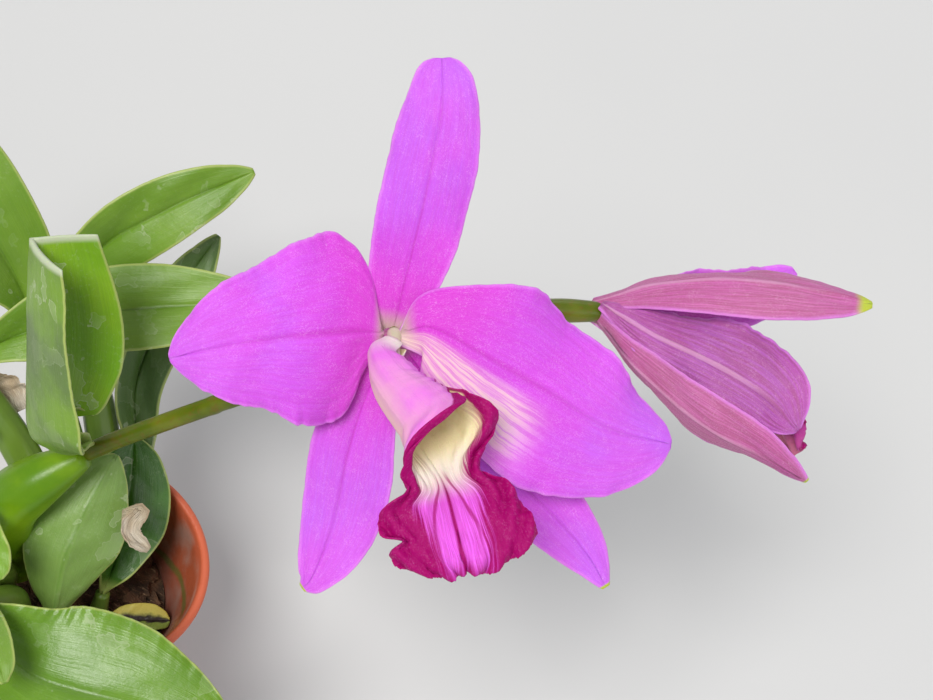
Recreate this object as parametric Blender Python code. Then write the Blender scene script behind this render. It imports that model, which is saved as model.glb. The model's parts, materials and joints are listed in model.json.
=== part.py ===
# Cattleya orchid in its small pot. Lengths in millimetres here, turned into metres when a mesh is made.
# Origin: middle of the pot's base, on the floor. +Z goes up.
import math
import random

import bpy
import bmesh
import numpy as np
from mathutils import Vector

MM = 0.001

# Pot and medium
POT_RIM_RADIUS = 35.0
POT_HEIGHT = 64.0
POT_BASE_RADIUS = 23.0
POT_WALL = 1.6
POT_RIM_ROLL = 2.8
POT_FLOOR = 2.4
POT_SIDES = 36
DRAIN_HOLE_RADIUS = 2.6
DRAIN_HOLE_CIRCLE = 13.0
DRAIN_HOLES = 5
BARK_TOP = 34.0
BARK_BOTTOM = POT_FLOOR + 0.4
BARK_GAP = 0.45
BARK_CHUNKS = 30
BARK_SEED = 7
HOLE_GAP = 0.45

# Blade thicknesses
LEAF_THICK = 1.3
TEPAL_THICK = 0.9
LIP_THICK = 0.8
SHEATH_THICK = 0.7

# The two blooms: where each ovary ends, and the directions across, up and out of the front one's face
FRONT_BLOOM = (46.6, 20.3, 213.3)
SIDE_BLOOM = (87.4, 66.4, 203.4)
BLOOM_ACROSS = (0.8575, 0.418, 0.3)
BLOOM_UP = (-0.5145, 0.6966, 0.5)
BLOOM_OUT = (0.0, -0.5831, 0.8124)

# Flower stem
STEM_RADIUS = 2.5
NODE_RADIUS = 3.4
OVARY_RADIUS = 3.2

# Pseudobulbs: spine points, then (place along it, radius)
BULBS = {
    "bulb_front": {
        "spine": [(-19, -4, 28), (-20, -5, 50), (-23.5, -7, 66), (-26, -7, 80), (-22, -2.5, 92), (-13.6, 7.2, 103.2)],
        "radii": [(0, 3.0), (0.25, 4.4), (0.42, 6.8), (0.62, 9.0), (0.8, 8.0), (0.94, 5.2), (1, 3.6)],
        "color": (0.55, 0.62, 0.12),
    },
    "bulb_cross": {
        "spine": [(-21, 8, 28), (-22, 9, 50), (-25, 9, 68), (-38, 12, 82), (-55, 17, 91)],
        "radii": [(0, 2.6), (0.3, 3.4), (0.6, 5.4), (0.85, 4.6), (1, 3.2)],
        "color": (0.36, 0.46, 0.13),
    },
    "bulb_far_left": {
        "spine": [(-13.6, 15.6, 28), (-14.6, 17.6, 50), (-19, 19, 67), (-32, 26, 84), (-46, 34, 97)],
        "radii": [(0, 2.6), (0.3, 3.3), (0.6, 5.6), (0.85, 4.6), (1, 3.2)],
        "color": (0.36, 0.46, 0.13),
    },
    "bulb_rear": {
        "spine": [(-6, 20.5, 28), (-7.5, 22.2, 50), (-10.5, 24.6, 65), (-23, 36, 79.5), (-37, 46, 93)],
        "radii": [(0, 2.6), (0.3, 3.3), (0.6, 5.2), (0.85, 4.4), (1, 3.0)],
        "color": (0.33, 0.42, 0.12),
    },
    "bulb_inner": {
        "spine": [(2, 19, 28), (2, 19.5, 48), (1.5, 21, 57), (0, 24, 66)],
        "radii": [(0, 2.4), (0.4, 3.4), (0.75, 4.2), (1, 2.6)],
        "color": (0.28, 0.36, 0.1),
    },
    "bulb_low": {
        "spine": [(2, -20, 28), (2, -21, 42), (2, -21.5, 50), (1.6, -21.5, 57)],
        "radii": [(0, 2.4), (0.5, 3.6), (0.8, 3.8), (1, 2.6)],
        "color": (0.4, 0.45, 0.2),
    },
    "bulb_oval": {
        "spine": [(8, -5, 27), (8, -4, 40), (7, -2, 50)],
        "radii": [(0, 2.2), (0.5, 3.0), (1, 2.2)],
        "color": (0.25, 0.34, 0.1),
    },
    "bulb_near": {
        "spine": [(-9, -19, 28), (-10, -21, 50), (-12, -25, 66), (-16, -34, 77)],
        "radii": [(0, 2.6), (0.35, 3.3), (0.65, 4.4), (1, 3.0)],
        "color": (0.4, 0.5, 0.14),
    },
    "bulb_small": {
        "spine": [(-17, -13.5, 28), (-18.2, -15.6, 50), (-19.2, -18.6, 64), (-25, -31, 76)],
        "radii": [(0, 2.2), (0.35, 2.8), (0.65, 3.6), (1, 2.4)],
        "color": (0.42, 0.5, 0.15),
    },
}

# Leaves: spine, directions that the upper face looks to, half widths (place, one side, other side),
# fold at the midrib and curl to the margin in degrees, ripple (height, waves, start)
LEAVES = {
    "leaf_cut": {
        "spine": [(-15, 7.6, 108.2), (-20, 2, 110), (-27, -0.5, 115), (-32.5, 4.5, 126), (-40, 13.5, 141),
                  (-49.3, 25.2, 160.8)],
        "slant": 0.17,
        "facing": [(0.5, 0.4, 0.75), (0.75, 0.3, 0.6), (0.92, 0.1, 0.4), (0.92, 0.08, 0.4), (0.92, 0.08, 0.4)],
        "widths": [(0, 4.0, 4.0), (0.1, 8.5, 9), (0.25, 15.5, 17), (0.48, 21.5, 25), (0.72, 22, 24), (1, 19.5, 17)],
        "fold": [(0, 50), (0.3, 55), (1, 55)],
        "curl": [(0, 40), (0.3, 16), (0.6, 2), (1, -4)],
        "ripple": (0.25, 2.0, 0.4),
        "color": (0.42, 0.52, 0.2),
    },
    "leaf_cross": {
        "spine": [(-57.8, 18.6, 94.0), (-51, 27, 103), (-33, 45, 111.5), (-12, 58, 119), (6, 69, 125)],
        "facing": [(0.3, -0.6, 0.7), (0.1, -0.35, 0.93), (0.05, -0.4, 0.9)],
        "widths": [(0, 3.2, 3.2), (0.12, 6.5, 6.5), (0.35, 12, 12), (0.65, 12.6, 12.6), (0.85, 8.8, 8.8),
                   (0.95, 4.8, 4.8), (1, 1.2, 1.2)],
        "fold": [(0, 52), (0.3, 24), (1, 14)],
        "curl": [(0, 10), (0.5, -8), (1, -4)],
        "ripple": (0.5, 2.5, 0.0),
        "color": (0.24, 0.36, 0.12),
    },
    "leaf_far_left": {
        "spine": [(-47.6, 35.2, 99.6), (-57, 40.5, 109), (-71, 43, 124), (-87, 48, 138), (-105, 55, 149)],
        "facing": [(0.5, -0.5, 0.7), (0.45, -0.5, 0.74), (0.3, -0.4, 0.86)],
        "widths": [(0, 3.2, 3.2), (0.12, 7.6, 7.6), (0.32, 14.4, 14.4), (0.6, 14, 14), (0.83, 9.4, 9.4),
                   (0.95, 4.6, 4.6), (1, 1.2, 1.2)],
        "fold": [(0, 50), (0.3, 24), (1, 10)],
        "curl": [(0, 8), (0.5, -6), (1, -12)],
        "ripple": (0.5, 2.0, 1.0),
        "color": (0.3, 0.42, 0.14),
    },
    "leaf_rear": {
        "spine": [(-38.6, 47.6, 95.6), (-46, 53, 106), (-42, 62, 119.5), (-30, 76, 134), (-16, 92, 145)],
        "facing": [(0.6, -0.6, 0.5), (0.35, -0.6, 0.7), (0.2, -0.5, 0.84)],
        "widths": [(0, 3.0, 3.0), (0.12, 6.4, 6.4), (0.35, 10.4, 10.4), (0.6, 10.4, 10.4), (0.82, 7.6, 7.6),
                   (0.94, 4.0, 4.0), (1, 1.1, 1.1)],
        "fold": [(0, 50), (0.3, 28), (1, 14)],
        "curl": [(0, 8), (0.5, -8), (1, -6)],
        "ripple": (0.4, 2.0, 0.5),
        "color": (0.24, 0.36, 0.12),
    },
    "leaf_inner": {
        "spine": [(-1.4, 26.2, 68.2), (-9, 36, 75), (-18, 48, 85), (-20.5, 68, 101), (-18.5, 87, 115)],
        "facing": [(0.5, -0.6, 0.6), (0.5, -0.4, 0.76), (0.4, -0.5, 0.76)],
        "widths": [(0, 2.8, 2.8), (0.12, 5.6, 5.6), (0.35, 8.6, 8.6), (0.65, 9.4, 9.4), (0.85, 6.8, 6.8),
                   (0.95, 3.4, 3.4), (1, 1.0, 1.0)],
        "fold": [(0, 52), (0.3, 36), (1, 26)],
        "curl": [(0, 8), (0.5, -4), (1, -4)],
        "ripple": (0.3, 2.0, 0.2),
        "color": (0.14, 0.22, 0.08),
    },
    "leaf_grey": {
        "spine": [(1.0, -21.5, 60.2), (-1.6, -17.5, 67), (-5.0, -9.5, 76), (-7, 4, 86), (-7.8, 18, 93)],
        "facing": [(-0.3, 0.75, -0.55), (-0.25, 0.7, -0.66), (-0.2, 0.6, -0.75)],
        "widths": [(0, 3.0, 3.0), (0.15, 9.0, 7.5), (0.4, 15, 10), (0.65, 14.4, 11.5), (0.85, 9.2, 8.6),
                   (0.95, 4.2, 4.2), (1, 1.0, 1.0)],
        "fold": [(0, 46), (0.3, 22), (1, 12)],
        "curl": [(0, 10), (0.5, 10), (1, 6)],
        "ripple": (0.4, 2.0, 0.7),
        "color": (0.42, 0.48, 0.3),
    },
    "leaf_oval": {
        "spine": [(6.6, -0.4, 52.8), (5, 6, 59), (0.5, 16.5, 67.5), (-5, 27, 76), (-8.5, 32.5, 81)],
        "facing": [(0.5, -0.5, 0.7), (0.45, -0.5, 0.74), (0.4, -0.5, 0.76)],
        "widths": [(0, 2.4, 2.4), (0.15, 7.0, 7.0), (0.4, 12.6, 12.6), (0.65, 12.6, 12.6), (0.85, 8.6, 8.6),
                   (0.95, 4.4, 4.4), (1, 1.2, 1.2)],
        "fold": [(0, 40), (0.3, 16), (1, 8)],
        "curl": [(0, 8), (0.5, -10), (1, -8)],
        "ripple": (0.4, 2.0, 0.1),
        "color": (0.12, 0.24, 0.08),
    },
    "leaf_near": {
        "spine": [(-17, -36.6, 79.6), (-8, -44, 84), (10, -49, 89), (36, -43.5, 94), (62, -36, 96)],
        "facing": [(-0.2, -0.3, 0.93), (-0.15, -0.35, 0.92), (-0.1, -0.3, 0.95)],
        "widths": [(0, 3.0, 3.0), (0.1, 8.6, 8.6), (0.25, 16.5, 16.5), (0.45, 22, 22), (0.65, 21, 21), (0.82, 14.5, 14.5),
                   (0.93, 8, 8), (1, 1.4, 1.4)],
        "fold": [(0, 44), (0.3, 16), (1, 10)],
        "curl": [(0, 8), (0.5, -12), (1, -12)],
        "ripple": (0.5, 2.5, 0.3),
        "color": (0.38, 0.52, 0.16),
    },
    "leaf_small": {
        "spine": [(-25, -33, 78), (-20, -42, 87), (-9, -50, 97), (0, -56, 103), (5, -60, 103)],
        "facing": [(0.3, -0.2, 0.93), (0.25, -0.2, 0.93), (0.1, -0.4, 0.9)],
        "widths": [(0, 2.2, 2.2), (0.15, 4.6, 4.6), (0.4, 7.4, 7.4), (0.7, 7.4, 7.4), (0.9, 4.4, 4.4), (1, 1.0, 1.0)],
        "fold": [(0, 44), (0.3, 22), (1, 12)],
        "curl": [(0, 8), (0.5, -4), (1, -4)],
        "ripple": (0.3, 2.0, 0.9),
        "color": (0.36, 0.48, 0.18),
    },
    "leaf_stub": {
        "spine": [(-31, -14, 88), (-27, -20, 90), (-20, -27, 91), (-14, -32, 91)],
        "facing": [(-0.2, -0.2, 0.95), (-0.1, -0.2, 0.95)],
        "widths": [(0, 2.0, 2.0), (0.3, 4.4, 4.4), (0.7, 5.6, 5.6), (0.92, 3.8, 3.8), (1, 1.4, 1.4)],
        "fold": [(0, 30), (1, 10)],
        "curl": [(0, 6), (1, -8)],
        "ripple": (0.2, 2.0, 0.0),
        "color": (0.4, 0.56, 0.18),
    },
}

# Dead and papery pieces, described like the leaves
DRY_PIECES = {
    "dry_sheath": {
        "spine": [(-44.6, 12.2, 78.0), (-47.6, 13.2, 79.6), (-53.4, 15.1, 82.6), (-57.5, 16.6, 85.4)],
        "facing": [(0.5, 0.05, 0.86), (0.5, 0.1, 0.85)],
        "widths": [(0, 15.5, 15.5), (0.4, 15.0, 15.0), (0.75, 12, 12), (1, 8, 8)],
        "fold": [(0, 0), (1, 0)],
        "curl": [(0, 128), (0.5, 120), (1, 70)],
        "ripple": (0.5, 3.0, 0.5),
        "thick": SHEATH_THICK,
        "color": (0.72, 0.6, 0.42),
    },
    "dry_bract": {
        "spine": [(7.2, 10, 88.5), (6.4, 5, 86), (8.5, 2.5, 84.4), (14.5, 2, 84)],
        "facing": [(0.0, -0.4, 0.9), (0.3, -0.3, 0.9)],
        "widths": [(0, 2.0, 2.0), (0.4, 3.4, 3.4), (0.8, 2.6, 2.6), (1, 1.0, 1.0)],
        "fold": [(0, 10), (1, 10)],
        "curl": [(0, 70), (1, 90)],
        "ripple": (0.3, 2.0, 0.5),
        "thick": SHEATH_THICK,
        "color": (0.7, 0.58, 0.4),
    },
    "dying_leaf": {
        "spine": [(12.5, -7, 41), (17, -3, 42.5), (22, 0.5, 43), (28, 4, 44)],
        "facing": [(-0.1, 0.1, 0.98), (-0.3, 0.1, 0.94)],
        "widths": [(0, 2.0, 2.0), (0.3, 5.0, 5.0), (0.7, 5.4, 5.4), (0.92, 3.4, 3.4), (1, 1.2, 1.2)],
        "fold": [(0, 24), (1, 12)],
        "curl": [(0, 10), (1, 24)],
        "ripple": (0.4, 2.0, 0.2),
        "thick": LEAF_THICK,
        "color": (0.5, 0.5, 0.1),
    },
}

# Tepals in their bloom's own directions: across, up, out
FRONT_TEPALS = {
    "front_dorsal_sepal": {
        "spine": [(0.6, 3.9, -2.8), (3.4, 15.2, -0.4), (8.0, 33.4, 6.6), (11.6, 51.4, 10.6), (11.6, 63.6, 9.6)],
        "facing": [(-0.1, -0.2, 0.95), (0.05, -0.25, 0.95), (0.0, 0.15, 0.98)],
        "widths": [(0, 2.2, 2.2), (0.1, 6.2, 6.2), (0.24, 9.3, 9.3), (0.42, 10.4, 10.4), (0.62, 10.4, 10.4),
                   (0.8, 9.2, 9.2), (0.92, 7.0, 7.0), (0.98, 4.6, 4.6), (1, 2.2, 2.2)],
        "fold": [(0, 14), (0.4, 4), (1, 10)],
        "curl": [(0, 12), (0.5, -16), (0.85, -30), (1, 30)],
        "ripple": (0.7, 2.5, 0.4),
    },
    "front_petal_left": {
        "spine": [(-3.4, 0.6, 0.4), (-9, 1.4, 3.2), (-16.5, -0.6, 7), (-28, -1.2, 11), (-40.5, -3.1, 12.5),
                  (-51, -5.4, 10)],
        "facing": [(0.25, 0.0, 0.95), (0.3, -0.05, 0.95), (-0.1, -0.1, 0.98)],
        "widths": [(0, 2.2, 2.2), (0.07, 10, 13), (0.16, 19.5, 23.5), (0.27, 22.5, 23.5), (0.42, 21, 21),
                   (0.57, 17.4, 17), (0.72, 14.2, 13.6), (0.86, 9.6, 9), (0.95, 5.4, 5.0), (1, 1.2, 1.2)],
        "fold": [(0, 10), (0.3, 3), (1, 3)],
        "curl": [(0, -24), (0.35, -34), (0.7, -22), (1, -10)],
        "ripple": (1.7, 2.6, 0.15),
    },
    "front_petal_right": {
        "spine": [(3.8, 1.0, 1.0), (9.5, 1.6, 2.6), (21, -4.4, 0.4), (36, -13, -5), (52, -22.6, -10.5),
                  (67.2, -26.6, -17)],
        "facing": [(-0.1, 0.05, 0.98), (0.2, 0.1, 0.95), (0.3, 0.1, 0.93)],
        "widths": [(0, 2.2, 2.2), (0.08, 8.6, 6.5), (0.2, 16.2, 12.5), (0.36, 20.5, 19.5), (0.5, 19.5, 22.8),
                   (0.65, 17, 22), (0.8, 13.4, 17), (0.91, 8.8, 10.4), (0.97, 5.2, 5.8), (1, 1.4, 1.4)],
        "fold": [(0, 10), (0.3, 4), (1, 3)],
        "curl": [(0, -10), (0.4, -26), (0.75, -20), (1, -10)],
        "ripple": (1.9, 2.4, 0.55),
    },
    "front_sepal_left": {
        "spine": [(-1.6, -3.6, -2.2), (-6.0, -13, -4), (-10.9, -27.6, -5.5), (-14.4, -44, -5.5), (-19.5, -57.4, -6),
                  (-22, -60.4, -7)],
        "facing": [(0.1, 0.2, 0.95), (0.0, 0.1, 0.98), (-0.2, 0.0, 0.97)],
        "widths": [(0, 2.0, 2.0), (0.12, 5.4, 5.4), (0.3, 9.4, 8.6), (0.5, 11.6, 9.2), (0.68, 11.2, 8.2),
                   (0.83, 8.8, 6.0), (0.93, 5.4, 3.8), (1, 1.1, 1.1)],
        "fold": [(0, 12), (0.4, 5), (1, 8)],
        "curl": [(0, 10), (0.5, -18), (1, -10)],
        "ripple": (0.7, 2.0, 0.3),
    },
    "front_sepal_right": {
        "spine": [(2.4, -3.0, -2.4), (13.0, -16.8, -9), (26, -31.5, -15), (38.4, -43.8, -18), (47, -54, -20),
                  (51.7, -62, -21)],
        "facing": [(0.0, 0.1, 0.98), (0.2, 0.0, 0.97), (0.3, -0.1, 0.95)],
        "widths": [(0, 2.0, 2.0), (0.12, 5.4, 5.4), (0.3, 8.4, 8.4), (0.52, 9.3, 9.3), (0.7, 8.8, 8.8),
                   (0.85, 6.4, 6.4), (0.94, 3.6, 3.6), (1, 1.1, 1.1)],
        "fold": [(0, 12), (0.4, 5), (1, 8)],
        "curl": [(0, 10), (0.5, -18), (1, -10)],
        "ripple": (0.7, 2.0, 0.8),
    },
}

SIDE_TEPALS = {
    "side_dorsal_sepal": {
        "spine": [(1.2, 3.0, 0.4), (12.1, 6.0, 5), (24.2, 7.4, 8.6), (38.8, 7.0, 10.4), (53.9, 4.8, 10),
                  (67.3, 1.6, 8.5)],
        "facing": [(0.2, -0.75, -0.6), (0.1, -0.78, -0.62), (0.0, -0.7, -0.7)],
        "widths": [(0, 2.0, 2.0), (0.12, 4.2, 6.2), (0.3, 8.2, 9.8), (0.55, 10.0, 10.4), (0.75, 9.0, 9.0),
                   (0.89, 5.8, 5.8), (0.96, 3.2, 3.2), (1, 1.1, 1.1)],
        "fold": [(0, 16), (1, 10)],
        "curl": [(0, 14), (0.5, 22), (1, 12)],
        "ripple": (0.6, 2.0, 0.2),
    },
    "side_sepal_near": {
        "spine": [(1.0, -3.8, 1.8), (9.4, -14.4, 8), (23.4, -27.2, 13), (37.0, -34.6, 14), (50.5, -42.2, 11)],
        "facing": [(0.5, 0.65, -0.55), (0.5, 0.62, -0.6), (0.5, 0.7, -0.5)],
        "widths": [(0, 2.0, 2.0), (0.12, 5.2, 3.2), (0.3, 8.2, 6.6), (0.55, 9.0, 9.0), (0.75, 7.8, 7.8),
                   (0.89, 5.0, 5.0), (0.96, 2.8, 2.8), (1, 1.0, 1.0)],
        "fold": [(0, 16), (1, 10)],
        "curl": [(0, 12), (0.5, 18), (1, 8)],
        "ripple": (0.5, 2.0, 0.6),
    },
    "side_sepal_far": {
        "spine": [(0.4, -2.6, -3.4), (12, -7.0, -14), (27, -11, -25), (42, -15, -30), (57, -20.5, -30)],
        "facing": [(0.3, 0.3, 0.9), (0.2, 0.45, 0.86), (0.1, 0.5, 0.86)],
        "widths": [(0, 2.0, 2.0), (0.12, 5.2, 5.2), (0.3, 8.0, 8.0), (0.55, 8.8, 8.8), (0.75, 7.6, 7.6),
                   (0.89, 4.8, 4.8), (0.96, 2.8, 2.8), (1, 1.0, 1.0)],
        "fold": [(0, 16), (1, 8)],
        "curl": [(0, 12), (0.5, 10), (1, 6)],
        "ripple": (0.5, 2.0, 0.1),
    },
    "side_petal_near": {
        "spine": [(3.0, 0.2, 4.0), (13, -6.2, 9.2), (27, -13.2, 13.4), (39.6, -21, 15), (47.8, -29.5, 14)],
        "facing": [(0.3, -0.3, -0.9), (0.3, -0.38, -0.88), (0.3, -0.3, -0.9)],
        "widths": [(0, 2.0, 2.0), (0.1, 2.6, 2.8), (0.3, 4.6, 7.4), (0.52, 7.0, 12.6), (0.7, 7.8, 14),
                   (0.86, 7.0, 10.5), (0.95, 4.4, 6.0), (1, 1.3, 1.3)],
        "fold": [(0, 14), (0.5, 8), (1, 4)],
        "curl": [(0, 10), (0.5, 20), (1, -10)],
        "ripple": (1.3, 2.2, 0.35),
    },
    "side_petal_far": {
        "spine": [(3.2, 2.2, -3.0), (15, 2.8, -11), (31, 2.6, -17.5), (45, 5.5, -20), (53, 11.5, -20)],
        "facing": [(0.4, -0.3, 0.86), (0.3, -0.4, 0.86), (0.1, -0.3, 0.94)],
        "widths": [(0, 2.0, 2.0), (0.1, 4.5, 3.6), (0.3, 8.6, 5.6), (0.52, 10, 7), (0.72, 9.5, 8),
                   (0.86, 7.0, 7.0), (0.95, 4.4, 4.8), (1, 1.3, 1.3)],
        "fold": [(0, 14), (0.5, 6), (1, 4)],
        "curl": [(0, 8), (0.5, 8), (1, -10)],
        "ripple": (1.1, 2.2, 0.75),
    },
}

# Lips: a sheet rolled round the column and open in front. The left side closes over the right one.
FRONT_LIP = {
    "spine": [(-0.8, -4.0, 1.4), (-1.4, -8.4, 4.0), (0.4, -16.5, 8.6), (4.4, -26.0, 14.6), (9.4, -34.6, 20.6),
              (13.8, -42.6, 25.0), (16.6, -50, 26.4), (17.4, -54.6, 24.0)],
    "facing": [(0.1, 0.9, 0.3), (0.38, 0.76, 0.5), (0.42, 0.72, 0.55), (0.3, 0.4, 0.86), (0.12, 0.1, 0.98),
               (0.05, -0.35, 0.93)],
    "widths": [(0, 3.6, 5.0), (0.1, 8.2, 15), (0.25, 15, 25), (0.4, 20, 30), (0.5, 22, 27), (0.58, 19.5, 18.5),
               (0.64, 15.5, 13.5), (0.73, 17, 16.5), (0.85, 18.5, 17.5), (0.94, 16, 14.5), (1, 11, 10)],
    "fold": [(0, 0), (1, 0)],
    "curl": [(0, 60, 90), (0.1, 130, 190), (0.25, 142, 200), (0.4, 130, 196), (0.5, 104, 160), (0.58, 62, 96),
             (0.66, 30, 44), (0.8, 2, 8), (1, -30, -30)],
    "flare": [(0, 0, 0), (0.3, -10, 0), (0.5, -120, -30), (0.6, -70, -30), (0.8, -30, -30), (1, -20, -20)],
    "ripple": [(0, 0.0), (0.3, 0.0), (0.5, 1.1), (0.64, 1.0), (0.8, 1.9), (1, 2.2)],
    "reach": 0.16,
    "notch": 0.04,
    "waves": (7.0, 3.5),
}

SIDE_LIP = {
    "spine": [(2.8, -3.8, -0.4), (8, -7.2, 0.0), (18, -13.4, -1), (29, -20.5, -2), (39, -27.0, -2),
              (46, -32, -1.5), (51, -36.5, -1)],
    "facing": [(0.5, 0.8, 0.0), (0.5, 0.85, -0.05), (0.5, 0.85, -0.1), (0.6, 0.75, -0.1)],
    "widths": [(0, 3.4, 3.4), (0.1, 8.0, 8.0), (0.25, 14, 14), (0.42, 18, 18), (0.55, 20, 20),
               (0.64, 16, 16), (0.75, 16.5, 16.5), (0.88, 16.5, 16.5), (1, 11, 11)],
    "fold": [(0, 0), (1, 0)],
    "curl": [(0, 60), (0.1, 124), (0.25, 148), (0.42, 136), (0.55, 104), (0.66, 66), (0.8, 50), (1, 34)],
    "ripple": [(0, 0.0), (0.4, 0.2), (0.55, 1.2), (0.66, 0.9), (0.82, 1.5), (1, 1.8)],
    "reach": 0.14,
    "notch": 0.04,
    "waves": (6.0, 3.0),
}

COLUMNS = {
    "front_column": {
        "bloom": "front",
        "spine": [(0.0, -0.4, 1.4), (0.2, -4.9, 5.6), (2.8, -11.2, 12.0), (5.4, -16.4, 17.2)],
        "radii": [(0, 1.1), (0.3, 1.3), (0.7, 2.1), (0.92, 2.3), (1, 1.5)],
    },
    "side_column": {
        "bloom": "side",
        "spine": [(3.4, -0.4, 0.0), (10.0, -3.2, -0.4), (18.5, -8.0, -1.4), (25.5, -11.8, -2)],
        "radii": [(0, 1.2), (0.3, 1.5), (0.7, 2.1), (0.92, 2.3), (1, 1.5)],
    },
}

# Flower stem: the stalk from the front bulb to the joint, then one stalk to each bloom
STALK = [(-12.0, 9.4, 105.3), (-6.6, 12.8, 112.8), (4, 18, 127.5), (22, 27.5, 151), (36, 36, 170), (43.1, 40.5, 178.6)]
FRONT_STALK = [(42.6, 40.2, 178), (45.0, 39.5, 184), (46.6, 33.5, 195), (46.8, 26, 206), (46.6, 21.7, 211.4)]
SIDE_STALK = [(42.4, 40.0, 177.8), (51, 45.5, 186), (64, 53.5, 196.5), (77, 60.5, 201.5), (86, 65.7, 203.2)]

BULB_SIDES = 12
LEAF_COLUMNS = 5
LEAF_ROWS = 12
TEPAL_COLUMNS = 7
TEPAL_ROWS = 12
LIP_COLUMNS = 19
LIP_ROWS = 20
SIDE_LIP_COLUMNS = 13
SIDE_LIP_ROWS = 14


def clear_scene():
    """Remove what the scene holds."""
    for item in list(bpy.data.objects):
        bpy.data.objects.remove(item, do_unlink=True)


def unit(vector):
    """Vector of length one."""
    vector = np.asarray(vector, float)
    return vector / max(np.linalg.norm(vector), 1e-9)


def smooth_curve(points, steps=16):
    """Points on a smooth curve through the given ones."""
    pts = np.asarray(points, float)
    ends = np.vstack([2 * pts[0] - pts[1], pts, 2 * pts[-1] - pts[-2]])
    out = []
    for k in range(len(pts) - 1):
        a, b, c, d = ends[k:k + 4]
        for t in np.arange(steps) / steps:
            out.append(0.5 * (2 * b + (c - a) * t + (2 * a - 5 * b + 4 * c - d) * t * t
                              + (3 * b - a - 3 * c + d) * t ** 3))
    out.append(pts[-1])
    return np.array(out)


def along(points, places):
    """Positions and directions on the smooth curve at fractions of its length."""
    curve = smooth_curve(points)
    steps = np.linalg.norm(np.diff(curve, axis=0), axis=1)
    length = np.concatenate([[0], np.cumsum(steps)])
    length = length / length[-1]
    spots = np.array([np.interp(places, length, curve[:, k]) for k in range(3)]).T
    ahead = np.clip(np.asarray(places) + 0.02, 0, 1)
    behind = np.clip(np.asarray(places) - 0.02, 0, 1)
    front = np.array([np.interp(ahead, length, curve[:, k]) for k in range(3)]).T
    back = np.array([np.interp(behind, length, curve[:, k]) for k in range(3)]).T
    heading = front - back
    heading /= np.linalg.norm(heading, axis=1)[:, None]
    return spots, heading


def value_at(stations, places, column=1):
    """Smoothly interpolated value of one column of the stations."""
    column = min(column, len(stations[0]) - 1)
    table = smooth_curve([(s[0], s[column], 0.0) for s in stations], 8)
    order = np.maximum.accumulate(table[:, 0])
    return np.interp(places, order, table[:, 1])


def facing_at(directions, places):
    """Directions blended along the blade."""
    knots = np.linspace(0, 1, len(directions))
    table = np.asarray(directions, float)
    return np.array([np.interp(places, knots, table[:, k]) for k in range(3)]).T


def spread_rows(count):
    """Row places from 0 to 1, closer together at both ends."""
    t = np.linspace(0, 1, count)
    return 0.45 * t + 0.55 * (1 - np.cos(math.pi * t)) / 2


def blade_grid(spec, rows, columns):
    """Middle surface of a blade as a grid of points."""
    across = np.linspace(-1, 1, columns)
    reach = spec.get("reach", 0.0)
    notch = spec.get("notch", 0.0)
    slant = spec.get("slant", 0.0)
    waves, wave_across = spec.get("waves", (None, 0.0))
    grid = np.zeros((rows, columns, 3))
    for j, v in enumerate(across):
        shorten = 1 - reach * abs(v) ** 2.6 - notch * max(0.0, 1 - abs(v) / 0.3) - slant * (1 - v) / 2
        places = spread_rows(rows) * shorten
        spots, heading = along(spec["spine"], places)
        up = facing_at(spec["facing"], places)
        up -= (up * heading).sum(axis=1)[:, None] * heading
        up /= np.linalg.norm(up, axis=1)[:, None]
        side = np.cross(heading, up)
        half = value_at(spec["widths"], places, 1 if v < 0 else 2)
        ease = np.minimum(1.0, half / 5.0)
        fold = np.radians(value_at(spec["fold"], places)) * ease
        edge = 1 if v < 0 else 2
        curl = np.radians(value_at(spec["curl"], places, edge)) * ease
        flare = np.radians(value_at(spec.get("flare", [(0, 0), (1, 0)]), places, edge)) * ease
        steps = np.linspace(0, abs(v), 25)
        turn = fold[:, None] + curl[:, None] * steps[None, :] + flare[:, None] * steps[None, :] ** 4
        lateral = half * abs(v) * np.cos(turn).mean(axis=1)
        height = half * abs(v) * np.sin(turn).mean(axis=1)
        last = fold + curl * abs(v) + flare * abs(v) ** 4
        sign = 1 if v >= 0 else -1
        normal = up * np.cos(last)[:, None] - side * (sign * np.sin(last))[:, None]
        if waves is None:
            size, count, start = spec["ripple"]
            phase = count * places + start + (0.27 if v > 0 else 0.0)
            lift = size * ease * abs(v) ** 2.2 * np.sin(2 * math.pi * phase)
            lift *= np.sin(math.pi * np.clip(places, 0, 1)) ** 0.35
        else:
            size = value_at(spec["ripple"], places)
            phase = waves * places + wave_across * abs(v) + (0.35 if v > 0 else 0.0)
            edge = np.maximum(abs(v) ** 2.4, np.clip((places / shorten - 0.78) / 0.22, 0, 1) ** 1.5)
            lift = size * edge * np.sin(2 * math.pi * phase)
        point = spots + side * (sign * lateral)[:, None] + up * height[:, None]
        grid[:, j] = point + normal * lift[:, None]
    return grid


def material(name, color, roughness=0.5):
    """Plain surface of one colour."""
    surface = bpy.data.materials.new(name)
    surface.use_nodes = True
    shader = surface.node_tree.nodes["Principled BSDF"]
    shader.inputs["Base Color"].default_value = (*color, 1.0)
    shader.inputs["Roughness"].default_value = roughness
    return surface


def add_mesh(name, points, faces, color):
    """Object of one closed mesh, its faces turned outward."""
    mesh = bpy.data.meshes.new(name)
    mesh.from_pydata([tuple(np.asarray(p, float) * MM) for p in points], [], [tuple(f) for f in faces])
    build = bmesh.new()
    build.from_mesh(mesh)
    bmesh.ops.recalc_face_normals(build, faces=build.faces)
    build.to_mesh(mesh)
    build.free()
    item = bpy.data.objects.new(name, mesh)
    bpy.context.scene.collection.objects.link(item)
    item.data.materials.append(material(name, color))
    return item


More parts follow.
